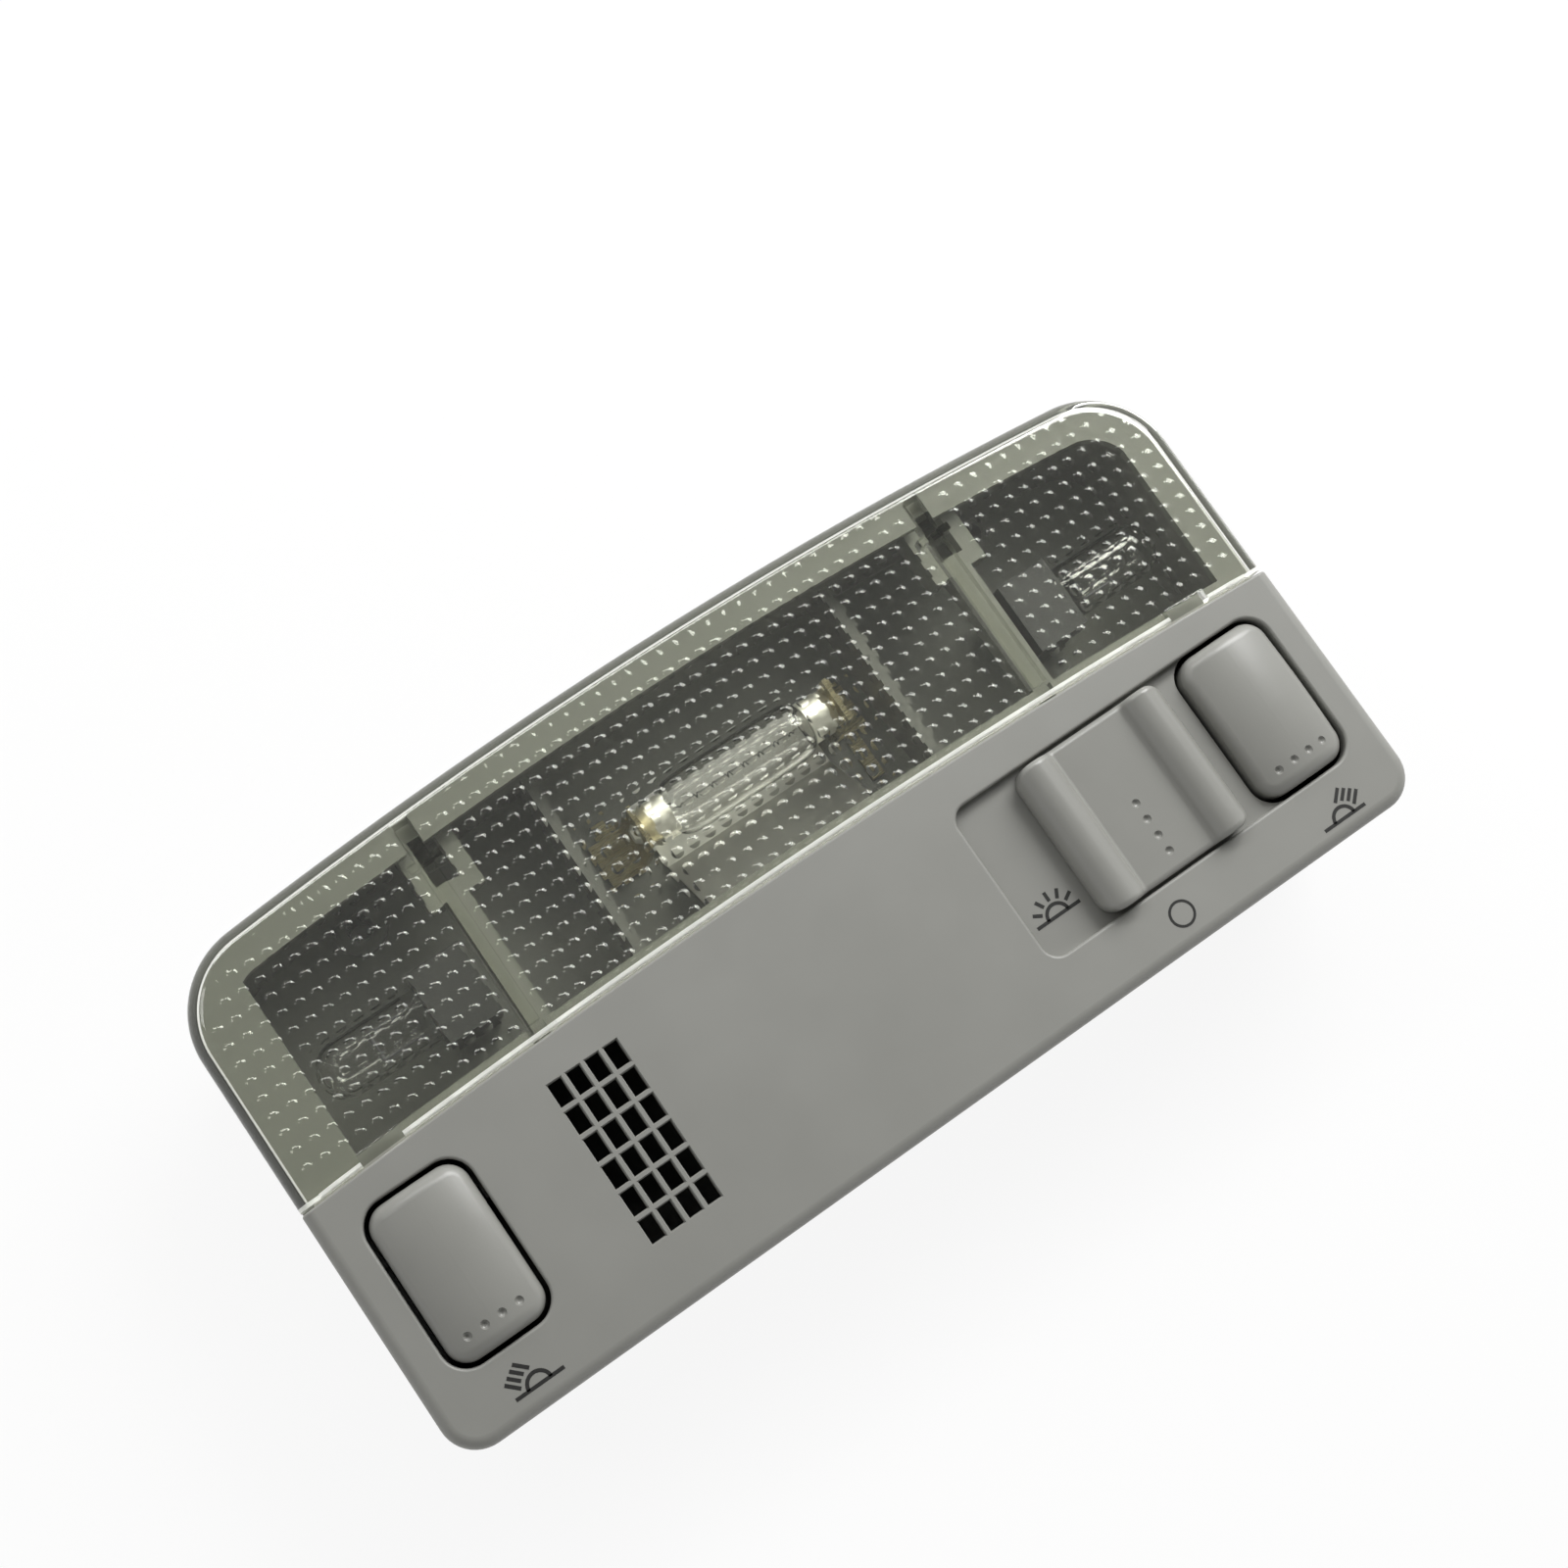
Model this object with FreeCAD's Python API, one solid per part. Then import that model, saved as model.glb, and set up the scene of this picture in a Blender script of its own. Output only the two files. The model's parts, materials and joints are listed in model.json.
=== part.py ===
import FreeCAD, Part
import os
from math import asin, cos, radians, sin, sqrt

# Car interior reading light, lying on its back with its face up.
# X runs along the length, Y from the switch panel towards the lens, Z out of the face.
# The origin is under the middle of the outline, on the plane that the rear rests on.

V = FreeCAD.Vector
X_AXIS = V(1, 0, 0)
Y_AXIS = V(0, 1, 0)
Z_AXIS = V(0, 0, 1)

# Outline of the face
light_length = 186.0
light_depth = 90.3
panel_depth = 46.9
seam_radius = 1520.0
lens_edge_radius = 830.0
lens_corner_radius = 15.0
panel_corner_radius = 6.2
seam_gap = 0.4
seam_edge_round = 0.4
sharpest_corner = 0.2

# Heights above the rear plane
face_height = 35.0
rim_height = 9.0

# Front housing walls
housing_wall = 2.2
face_wall = 2.4
edge_round = 2.0
hole_edge_round = 0.5
seat_flange_wall = 2.0
screw_boss_radius = 3.0

# Lens
lens_wall = 2.0
lens_plate = 2.6
lens_fit = 0.3
lens_edge_round = 3.4
rib_width = 2.6
rib_height = 3.2
rib_lead = 1.5
latch_bar_length = 5.8
latch_bar_width = 1.3
latch_leg_length = 3.0
latch_hook = 1.2
latch_gap = 0.3
release_notch_length = 7.6
release_notch_depth = 2.0

# Frame under the lens
frame_gap = 0.4
frame_wall = 2.0
band_width = 7.2
left_band = 11.5
right_band = 7.5
window_sill = 2.3
divider_end_margin = 43.8
divider_width = 4.0
divider_height = 6.0
latch_from_edge = 11.2
latch_slot_width = 4.4
latch_slot_length = 8.4
latch_lug_border = 2.8
nub_length = 8.0
nub_height = 1.4
nub_reach = 0.8
nub_end_margin = 33.0

# Rear carrier
carrier_fit = 0.3
carrier_wall = 1.8
floor_height = 8.0
floor_wall = 2.0
chamber_width = 59.0
chamber_wall = 1.6
chamber_wall_height = 13.0
rear_rib_wall = 1.6
rear_rib_spacing = 64.0
slot_fit = 0.15

# Fixing holes for the roof bracket
fixing_end_margin = 31.0
fixing_from_edge = 11.3
fixing_hole_radius = 2.2
fixing_boss_radius = 4.5
fixing_boss_height = 2.0

# Rocker buttons
rocker_end_margin = 6.0
rocker_front_margin = 10.85
rocker_seam_margin = 7.35
rocker_hole_width = 18.5
rocker_hole_corner = 4.5
rocker_gap = 0.8
rocker_rise = 2.7
rocker_crown_across = 18.0
rocker_crown_along = 115.0
rocker_edge_round = 2.4
rocker_skirt = 8.5
rocker_wall = 1.8
rocker_roof = 3.4
pivot_end_margin = 4.55
pivot_depth = 7.0
pivot_radius = 1.5
pivot_running_fit = 0.05
pivot_side_gap = 0.35
pivot_ear_wall = 1.6
pivot_ear_border = 1.1
pivot_ear_length = 7.0
dot_pitch = 3.07
dot_count = 4
dot_radius = 0.8
dot_sink = 0.5
rocker_dot_margin = 3.75

# Push switches under the rocker buttons
press_end_margin = 5.55
press_travel = 1.3
press_room = 2.5
press_gap = 0.3
post_radius = 2.0
push_switch_size = 9.0
push_switch_height = 9.0
plunger_radius = 1.5
plunger_round = 0.5
plunger_height = 10.0
plunger_floor = 2.2

# Slider, its recess and its contacts
slider_travel = 8.0
knob_length = 29.0
knob_end_gap = 1.7
knob_side_gap = 0.6
knob_crest_radius = 3.7
knob_crest_rise = 3.2
knob_valley_rise = 0.6
knob_valley_round = 1.0
knob_edge_round = 1.0
knob_corner = 3.0
knob_dot_first = 1.1
recess_strip = 1.9
recess_room = 3.9
recess_depth = 2.0
recess_corner = 3.0
recess_wall = 2.0
slide_gap = 0.3
stem_length = 8.0
stem_width = 10.0
carriage_length = 14.0
carriage_width = 18.0
carriage_height = 3.2
wiper_wall = 0.5
wiper_bump_radius = 0.6
track_wall = 0.5
track_width = 3.0
track_pitch = 5.0
track_count = 3
rail_wall = 1.8
rail_height = 4.0

# Grille
grille_end_margin = 40.65
grille_width = 12.7
grille_columns = 4
grille_rows = 6
grille_bar = 0.95
grille_chamfer = 0.2

# Dome bulb, a festoon bulb along X
dome_from_seam = 18.6
dome_axis_depth = 11.5
festoon_length = 41.0
festoon_radius = 5.2
festoon_glass_length = 27.0
festoon_glass_wall = 0.6
festoon_shoulder = 4.0
cap_radius = 3.8
cap_tip_radius = 1.2
cap_cone = 3.4
filament_radius = 0.25
coil_radius = 0.35
dome_contact_wall = 0.8
dome_contact_width = 8.0
dome_contact_rise = 5.0
dome_foot_length = 7.0
reflector_wall = 0.5
reflector_length = 33.0
reflector_lift = 1.5
reflector_flat = 12.0
reflector_rise = 13.0

# Reading bulbs, wedge bulbs along X
reading_from_seam = 13.1
reading_axis_depth = 13.0
wedge_radius = 4.8
wedge_glass_length = 20.0
wedge_glass_wall = 0.6
wedge_base_length = 7.0
wedge_base_width = 8.4
wedge_base_wall = 2.6
holder_length = 9.5
holder_width = 13.0
holder_height = 17.5
holder_gap = 3.8
wedge_contact_wall = 0.6
wedge_contact_width = 5.0

# Busbars and the legs that reach them through the floor
busbar_wall = 0.6
busbar_width = 4.0
earth_bar_reach = 5.5
supply_bar_reach = 11.5
busbar_end_margin = 29.0
leg_width = 2.4
channel_fit = 0.4

# Connector socket at the rear
socket_place_x = -12.0
socket_width = 23.0
socket_length = 12.0
socket_depth = 11.5
socket_wall = 1.6
pin_count = 6
pin_pitch = 3.2
pin_radius = 0.5
pin_recess = 4.8
pin_tail = 4.0
pin_fit = 0.02

# Assembly screws
screw_radius = 1.2
screw_fit = 0.1
screw_length = 11.0
screw_room = 1.0
screw_head_radius = 2.7
screw_head_height = 1.8
screw_left_margin = 33.0
screw_middle_x = 14.0
screw_right_margin = 33.0
screw_front_margin = 12.0
screw_seam_margin = 8.9
screw_right_front_margin = 10.2

# Retaining clips on the ends of the carrier
clip_wall = 0.6
clip_width = 12.0
clip_from_seam = 6.9
clip_bottom = 3.0
clip_height = 17.0
clip_foot = 3.4
clip_bulge = 3.2

# Levels and places worked out from the sizes above
front_y = -light_depth / 2
seam_y = front_y + panel_depth
seat_z = face_height - rim_height
frame_top = face_height - lens_plate - frame_gap
frame_under = frame_top - frame_wall
lens_inner_z = face_height - lens_plate
frame_inset = lens_wall + lens_fit
carrier_inset = frame_inset + housing_wall + carrier_fit
floor_z = floor_height + floor_wall
far = 2 * light_length
divider_top = lens_inner_z - rib_height - frame_gap
recess_floor = face_height - recess_depth
recess_under = recess_floor - recess_wall
interior_offset = (left_band - right_band) / 2
divider_spacing = light_length - 2 * divider_end_margin
nub_spacing = light_length - 2 * nub_end_margin
fixing_spacing = light_length - 2 * fixing_end_margin
busbar_length = light_length - 2 * busbar_end_margin
earth_bar_y = seam_y + dome_from_seam + earth_bar_reach
supply_bar_y = seam_y + dome_from_seam - supply_bar_reach
latch_y = light_depth / 2 - latch_from_edge
fixing_y = light_depth / 2 - fixing_from_edge
divider_low = divider_top - divider_height
lug_width = latch_slot_width + 2 * latch_lug_border
lug_reach = latch_slot_length / 2 + latch_lug_border
rocker_hole_length = panel_depth - rocker_front_margin - rocker_seam_margin
recess_length = rocker_hole_length
grille_length = rocker_hole_length
rocker_y = front_y + rocker_front_margin + rocker_hole_length / 2
rocker_reach = light_length / 2 - rocker_end_margin - rocker_hole_width / 2
recess_right = rocker_reach - rocker_hole_width / 2 - recess_strip
slider_x = recess_right - knob_end_gap - knob_length / 2
recess_left = slider_x - knob_length / 2 - slider_travel - recess_room
knob_depth = recess_length - 2 * knob_side_gap
grille_x = grille_end_margin + grille_width / 2 - light_length / 2
rocker_width = rocker_hole_width - 2 * rocker_gap
rocker_length = rocker_hole_length - 2 * rocker_gap
rocker_low = face_height - rocker_skirt
rocker_dot_reach = rocker_length / 2 - rocker_dot_margin
pivot_y = rocker_y + rocker_length / 2 - pivot_end_margin
pivot_z = face_height - pivot_depth
press_y = rocker_y - rocker_length / 2 + press_end_margin
plunger_bottom = floor_z + plunger_floor + press_travel
plunger_top = plunger_bottom + plunger_height
slider_y = rocker_y
carriage_top = recess_under - slide_gap
carriage_bottom = carriage_top - carriage_height
wiper_bottom = carriage_bottom - wiper_wall
track_top = wiper_bottom - wiper_bump_radius - slide_gap
pedestal_top = track_top - track_wall
dome_x = interior_offset
dome_y = seam_y + dome_from_seam
dome_z = face_height - dome_axis_depth
reading_y = seam_y + reading_from_seam
reading_z = face_height - reading_axis_depth
socket_y = rocker_y
SIDES = {"left": -1, "right": 1}


def block(x_low, x_high, y_low, y_high, z_low, z_high):
    """Box between two corners."""
    return Part.makeBox(x_high - x_low, y_high - y_low, z_high - z_low, V(x_low, y_low, z_low))


def bar(centre_x, centre_y, size_x, size_y, z_low, z_high):
    """Box given by its middle in plan and its two levels."""
    half_x = size_x / 2
    half_y = size_y / 2
    return block(centre_x - half_x, centre_x + half_x, centre_y - half_y, centre_y + half_y, z_low, z_high)


def post(centre_x, centre_y, radius, z_low, z_high):
    """Upright cylinder."""
    return Part.makeCylinder(radius, z_high - z_low, V(centre_x, centre_y, z_low), Z_AXIS)


def joined(shapes):
    """One solid from pieces that meet, without the lines where they met."""
    first = shapes[0]
    return first.fuse(shapes[1:]).removeSplitter()


def group(shapes):
    """Separate solids of one node."""
    return Part.makeCompound(shapes)


def extruded(edges, direction):
    """Solid swept straight from a closed flat run of edges."""
    return Part.Face(Part.Wire(edges)).extrude(direction)


def rounded_bar(centre_x, centre_y, size_x, size_y, corner, z_low, z_high):
    """Box with rounded upright edges."""
    shape = bar(centre_x, centre_y, size_x, size_y, z_low, z_high)
    upright = [edge for edge in shape.Edges if abs(edge.BoundBox.ZLength - (z_high - z_low)) < 1e-6]
    return shape.makeFillet(corner, upright)


def frustum(centre_x, centre_y, low_half, z_low, high_half, z_high):
    """Box whose sides slope between a low and a high rectangle, given by their half sizes."""
    rings = []
    for (half_x, half_y), z in ((low_half, z_low), (high_half, z_high)):
        signs = ((-1, -1), (1, -1), (1, 1), (-1, 1), (-1, -1))
        corners = [V(centre_x + a * half_x, centre_y + b * half_y, z) for a, b in signs]
        rings.append(Part.makePolygon(corners))
    return Part.makeLoft(rings, True, True)


def outline(inset, z_low, z_high):
    """The light's plan outline, moved inwards by inset, as an upright prism."""
    half = light_length / 2 - inset
    low = front_y + inset
    corner = max(panel_corner_radius - inset, sharpest_corner)
    edge = lens_edge_radius - inset
    edge_middle = light_depth / 2 - lens_edge_radius
    round_off = max(lens_corner_radius - inset, sharpest_corner)
    centre_x = half - round_off
    centre_y = edge_middle + sqrt((edge - round_off) ** 2 - centre_x ** 2)
    share = edge / (edge - round_off)
    meet_x = centre_x * share
    meet_y = edge_middle + (centre_y - edge_middle) * share
    slant_x = (half - centre_x + meet_x - centre_x) / 2
    slant_y = (meet_y - centre_y) / 2
    slant = round_off / sqrt(slant_x ** 2 + slant_y ** 2)
    turn_x = centre_x + slant_x * slant
    turn_y = centre_y + slant_y * slant
    bend = corner * (1 - cos(radians(45)))

    def at(x, y):
        return V(x, y, z_low)

    edges = [
        Part.LineSegment(at(corner - half, low), at(half - corner, low)).toShape(),
        Part.Arc(at(half - corner, low), at(half - bend, low + bend), at(half, low + corner)).toShape(),
        Part.LineSegment(at(half, low + corner), at(half, centre_y)).toShape(),
        Part.Arc(at(half, centre_y), at(turn_x, turn_y), at(meet_x, meet_y)).toShape(),
        Part.Arc(at(meet_x, meet_y), at(0, edge_middle + edge), at(-meet_x, meet_y)).toShape(),
        Part.Arc(at(-meet_x, meet_y), at(-turn_x, turn_y), at(-half, centre_y)).toShape(),
        Part.LineSegment(at(-half, centre_y), at(-half, low + corner)).toShape(),
        Part.Arc(at(-half, low + corner), at(bend - half, low + bend), at(corner - half, low)).toShape(),
    ]
    return extruded(edges, V(0, 0, z_high - z_low))


def before_seam(shift):
    """Everything on the panel's side of the seam arc, moved by shift towards the lens."""
    return post(0, seam_y - seam_radius, seam_radius + shift, -face_height, 2 * face_height)


def flat_edges(shape, level, lowest_y, highest_y):
    """Edges that lie at one level, with their middle between two Y places."""
    found = []
    for edge in shape.Edges:
        box = edge.BoundBox
        if box.ZLength < 1e-6 and abs(box.ZMin - level) < 1e-6:
            if lowest_y <= (box.YMin + box.YMax) / 2 <= highest_y:
                found.append(edge)
    return found


def edges_in(shape, level, area):
    """Edges at one level inside a box in plan, given as its low and high X and Y."""
    x_low, x_high, y_low, y_high = area
    found = []
    for edge in flat_edges(shape, level, y_low, y_high):
        box = edge.BoundBox
        if box.XMin > x_low and box.XMax < x_high and box.YMin > y_low and box.YMax < y_high:
            found.append(edge)
    return found


def divider_x(side):
    """Middle of a divider bar, which also holds the latch slot."""
    return interior_offset + side * divider_spacing / 2


def rib_x(side):
    """Middle of a rib under the lens."""
    return divider_x(side) - rib_lead


def rocker_x(side):
    """Middle of a rocker button."""
    return side * rocker_reach


def screw_places():
    """Plan places of the assembly screws."""
    left_x = screw_left_margin - light_length / 2
    right_x = light_length / 2 - screw_right_margin
    return [
        (left_x, front_y + screw_front_margin),
        (left_x, seam_y - screw_seam_margin),
        (screw_middle_x, front_y + screw_front_margin),
        (right_x, front_y + screw_right_front_margin),
    ]


def window(z_low, z_high):
    """Opening of the frame under the lens."""
    opening = outline(band_width, z_low, z_high).cut(before_seam(window_sill))
    end = light_length / 2
    return opening.common(block(left_band - end, end - right_band, -far, far, z_low, z_high))


def recess(inset, z_low, z_high):
    """Plan of the slider's recess as a prism, moved inwards by inset."""
    middle = (recess_left + recess_right) / 2
    size_x = recess_right - recess_left - 2 * inset
    size_y = recess_length - 2 * inset
    return rounded_bar(middle, rocker_y, size_x, size_y, recess_corner - inset, z_low, z_high)


def recess_end(border, z_low, z_high):
    """Block that carries the slider's recess on to the right rocker hole, wider by border."""
    half = recess_length / 2 + border
    end = recess_right + recess_strip + rocker_hole_corner
    return block(recess_right - recess_corner, end, rocker_y - half, rocker_y + half, z_low, z_high)


def grille_holes():
    """Through holes of the grille, each widened at the face."""
    pitch_x = (grille_width + grille_bar) / grille_columns
    pitch_y = (grille_length + grille_bar) / grille_rows
    half_x = (pitch_x - grille_bar) / 2
    half_y = (pitch_y - grille_bar) / 2
    wide_x = half_x + grille_chamfer
    wide_y = half_y + grille_chamfer
    low = face_height - 2 * grille_chamfer
    holes = []
    for column in range(grille_columns):
        for row in range(grille_rows):
            x = grille_x + (column - (grille_columns - 1) / 2) * pitch_x
            y = rocker_y + (row - (grille_rows - 1) / 2) * pitch_y
            holes.append(bar(x, y, 2 * half_x, 2 * half_y, face_height - 2 * face_wall, face_height))
            flare = frustum(x, y, (half_x, half_y), low, (wide_x, wide_y), face_height)
            holes.append(flare)
    return holes


def front_housing():
    """Switch panel, side walls and the frame under the lens, as one moulding."""
    panel = outline(0, seat_z, face_height).common(before_seam(-seam_gap / 2))
    rim = flat_edges(panel, face_height, -far, seam_y - panel_depth / 4)
    panel = panel.makeFillet(edge_round, rim)
    panel = panel.makeFillet(seam_edge_round, flat_edges(panel, face_height, seam_y - panel_depth / 4, far))
    hollow = outline(housing_wall, seat_z, face_height - face_wall)
    panel = panel.cut(hollow.common(before_seam(-seam_gap / 2 - housing_wall)))
    pan = recess(-recess_wall, recess_under, face_height - face_wall)
    pan_end = recess_end(recess_wall, recess_under, face_height - face_wall)
    frame = outline(frame_inset, seat_z, frame_top).cut(before_seam(-housing_wall / 2 - seam_gap))
    frame_hollow = outline(frame_inset + housing_wall, seat_z, frame_under).cut(before_seam(-seam_gap / 2))
    frame = frame.cut(frame_hollow)
    flange = outline(0, seat_z, seat_z + seat_flange_wall)
    flange = flange.cut(outline(carrier_inset - carrier_fit, seat_z, seat_z + seat_flange_wall))
    bosses = [post(x, y, screw_boss_radius, floor_z, face_height - face_wall) for x, y in screw_places()]
    housing = joined([panel, frame, flange, pan, pan_end] + bosses)
    housing = housing.cut(window(seat_z, frame_top))
    housing = joined([housing] + dividers() + nubs())
    housing = housing.cut([latch_slot(side) for side in SIDES.values()])
    housing = housing.cut([rib_notch(side) for side in SIDES.values()])
    housing = housing.cut([recess(0, recess_floor, face_height), recess_end(0, recess_floor, face_height)])
    travel_slot = stem_length + slider_travel + 2 * slide_gap
    housing = housing.cut(bar(slider_x - slider_travel / 2, slider_y, travel_slot,
                              stem_width + 2 * slide_gap, recess_under, recess_floor))
    for side in SIDES.values():
        housing = housing.cut(rounded_bar(rocker_x(side), rocker_y, rocker_hole_width, rocker_hole_length,
                                          rocker_hole_corner, recess_under, face_height))
    housing = housing.cut(grille_holes())
    pilot = screw_radius + screw_fit
    pilot_end = floor_height + screw_length + screw_room
    housing = housing.cut([post(x, y, pilot, floor_z, pilot_end) for x, y in screw_places()])
    return softened_openings(housing)


def softened_openings(housing):
    """Rounds the edges of the left rocker hole, and of the recess with the right one, at the face."""
    margin = hole_edge_round
    half_length = rocker_hole_length / 2 + margin
    half_width = rocker_hole_width / 2 + margin
    left_hole = (rocker_x(SIDES["left"]) - half_width, rocker_x(SIDES["left"]) + half_width)
    recess_and_hole = (recess_left - margin, rocker_x(SIDES["right"]) + half_width)
    soft = []
    for x_low, x_high in (left_hole, recess_and_hole):
        area = (x_low, x_high, rocker_y - half_length, rocker_y + half_length)
        soft += edges_in(housing, face_height, area)
    return housing.makeFillet(hole_edge_round, soft)


def dividers():
    """Light-coloured bars across the window, each with a lug round its latch slot."""
    bars = []
    within = outline(frame_inset, divider_low, divider_top)
    for side in SIDES.values():
        x = divider_x(side)
        across = bar(x, seam_y + light_depth / 4, divider_width, light_depth, divider_low, divider_top)
        bars.append(across.common(within).cut(before_seam(-housing_wall / 2)))
        lug = block(x - lug_width / 2, x + lug_width / 2, latch_y - lug_reach, light_depth,
                    divider_low, divider_top)
        bars.append(lug.common(within))
    return bars


def latch_slot(side):
    """Slot that the lens's latch leg goes down through."""
    return bar(divider_x(side), latch_y, latch_slot_width, latch_slot_length, divider_low, divider_top)


def rib_notch(side):
    """Gap in the frame for a rib of the lens."""
    notch = bar(rib_x(side), seam_y + light_depth / 4, rib_width + 2 * lens_fit,
                light_depth / 2 + 2 * frame_inset, divider_top, frame_top)
    return notch.cut(before_seam(0))


def nubs():
    """Catches on the frame's back wall that the carrier clicks behind."""
    found = []
    for side in SIDES.values():
        nub = bar(side * nub_spacing / 2, light_depth / 2 - band_width / 2, nub_length, 2 * band_width,
                  seat_z, seat_z + nub_height)
        ring = outline(frame_inset + housing_wall / 2, seat_z, seat_z + nub_height)
        inside = outline(frame_inset + housing_wall + nub_reach, seat_z, face_height)
        found.append(nub.common(ring).cut(inside))
    return found


def lens():
    """Clear cover with a skirt, ribs, latch tabs and release notches."""
    low = seat_z + seat_flange_wall
    shell = outline(0, low, face_height).cut(before_seam(seam_gap / 2))
    rim = flat_edges(shell, face_height, seam_y + window_sill, far)
    shell = shell.makeFillet(lens_edge_round, rim)
    shell = shell.makeFillet(seam_edge_round, flat_edges(shell, face_height, -far, seam_y + window_sill))
    shell = shell.cut(outline(lens_wall, low, lens_inner_z))
    below_plate = block(-far, far, -far, far, low, frame_top)
    shell = shell.cut(before_seam(seam_gap / 2 + lens_fit).common(below_plate))
    pieces = [shell]
    for side in SIDES.values():
        rib = bar(rib_x(side), seam_y + light_depth / 4, rib_width, light_depth,
                  lens_inner_z - rib_height, lens_inner_z)
        rib = rib.common(outline(lens_wall / 2, low, face_height))
        rib = rib.cut(before_seam(window_sill + lens_fit))
        tab = bar(rib_x(side), latch_y, latch_bar_length, latch_bar_width,
                  lens_inner_z - rib_height, lens_inner_z)
        hook_top = divider_low - latch_gap
        hook_low = hook_top - latch_hook
        leg = bar(divider_x(side), latch_y, latch_leg_length, latch_bar_width, hook_low, lens_inner_z)
        hook_x = divider_x(side) + side * latch_hook / 2
        hook = bar(hook_x, latch_y, latch_leg_length + latch_hook, latch_bar_width, hook_low, hook_top)
        pieces += [rib, tab, leg, hook]
    cover = joined(pieces)
    notches = []
    for side in SIDES.values():
        notch = bar(rocker_x(side), seam_y, release_notch_length, light_depth / 4, low, face_height)
        notches.append(notch.common(before_seam(release_notch_depth)))
    return cover.cut(notches)


def rear_carrier():
    """Dark moulding behind the face: floor, walls, chamber walls, switch seats and connector socket."""
    inner = carrier_inset + carrier_wall
    body = outline(carrier_inset, 0, frame_under)
    body = body.cut(outline(inner, floor_z, frame_under))
    body = body.cut(outline(inner, 0, floor_height))
    pieces = [body, cross_wall(), connector_shroud(), pedestal()] + chamber_walls() + rear_ribs()
    for side in SIDES.values():
        pieces += pivot_ears(side)
        pieces.append(post(side * fixing_spacing / 2, fixing_y, fixing_boss_radius,
                           0, floor_z + fixing_boss_height))
    carrier = joined(pieces)
    cuts = [connector_cavity()]
    cuts += [pin.makeOffsetShape(pin_fit, 1e-4, join=2) for pin in connector_pins().Solids]
    for side in SIDES.values():
        reach = rocker_width / 2 + pivot_side_gap + pivot_ear_wall + carrier_wall
        cuts.append(Part.makeCylinder(pivot_radius + pivot_running_fit, 2 * reach,
                                      V(rocker_x(side) - reach, pivot_y, pivot_z), X_AXIS))
        cuts.append(post(side * fixing_spacing / 2, fixing_y, fixing_hole_radius,
                         0, floor_z + fixing_boss_height))
        cuts.append(bar(rocker_x(side), rocker_y, rocker_width + 2 * pivot_side_gap,
                        rocker_length + 2 * rocker_gap, rocker_low - press_room, frame_under))
        cuts.append(bar(divider_x(side), light_depth / 2, lug_width + 2 * carrier_fit,
                        2 * (latch_from_edge + lug_reach), divider_low - carrier_fit, frame_under))
        nub_cut = bar(side * nub_spacing / 2, light_depth / 2 - band_width / 2, nub_length + 2 * carrier_fit,
                      2 * band_width, seat_z - carrier_fit, seat_z + nub_height + carrier_fit)
        cuts.append(nub_cut.cut(outline(carrier_inset + nub_reach, 0, face_height)))
    cuts += [post(x, y, screw_radius + screw_fit, floor_height, floor_z) for x, y in screw_places()]
    seam_slot = before_seam(carrier_fit - seam_gap / 2)
    seam_slot = seam_slot.cut(before_seam(-seam_gap / 2 - housing_wall - carrier_fit))
    cuts.append(seam_slot.common(block(-far, far, -far, far, seat_z - carrier_fit, frame_under)))
    cuts += busbar_channels() + leg_slots()
    return carrier.cut(cuts)


def cross_wall():
    """Wall between the lamps and the switches, also a rib on the rear."""
    near = -seam_gap / 2 - housing_wall - carrier_fit
    wall = outline(carrier_inset, 0, frame_under).common(before_seam(near))
    return wall.cut(before_seam(near - carrier_wall))


def chamber_walls():
    """Two low walls that stand at the ends of the dome bulb's chamber."""
    walls = []
    for side in SIDES.values():
        x = interior_offset + side * chamber_width / 2
        wall = bar(x, seam_y + light_depth / 4, chamber_wall, light_depth / 2 + 2 * housing_wall,
                   floor_z, floor_z + chamber_wall_height)
        walls.append(wall.common(outline(carrier_inset, 0, face_height)).cut(before_seam(-housing_wall)))
    return walls


def rear_ribs():
    """Ribs across the whole rear."""
    ribs = []
    for side in SIDES.values():
        x = interior_offset + side * rear_rib_spacing / 2
        rib = bar(x, 0, rear_rib_wall, light_depth, 0, floor_height)
        ribs.append(rib.common(outline(carrier_inset, 0, face_height)))
    return ribs


def pivot_ears(side):
    """Two upright ears that carry a rocker button's pivot pins."""
    ears = []
    top = pivot_z + pivot_radius + pivot_ear_border
    for end in SIDES.values():
        x = rocker_x(side) + end * (rocker_width / 2 + pivot_side_gap + pivot_ear_wall / 2)
        ears.append(bar(x, pivot_y, pivot_ear_wall, pivot_ear_length, floor_z, top))
    return ears


def pedestal():
    """Raised block under the slider with two guide rails for the carriage."""
    middle_x = slider_x - slider_travel / 2
    length = carriage_length + slider_travel
    rail_y = carriage_width / 2 + slide_gap + rail_wall / 2
    width = carriage_width + 2 * slide_gap + 2 * rail_wall
    pieces = [bar(middle_x, slider_y, length, width, floor_z, pedestal_top)]
    for end in SIDES.values():
        pieces.append(bar(middle_x, slider_y + end * rail_y, length, rail_wall,
                          pedestal_top, pedestal_top + rail_height))
    return joined(pieces)


def connector_shroud():
    """Outer block of the connector socket."""
    return bar(socket_place_x, socket_y, socket_width + 2 * socket_wall, socket_length + 2 * socket_wall,
               0, socket_depth + socket_wall)


def connector_cavity():
    """Space that the plug goes into."""
    return rounded_bar(socket_place_x, socket_y, socket_width, socket_length, socket_wall / 2,
                       0, socket_depth)


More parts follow.
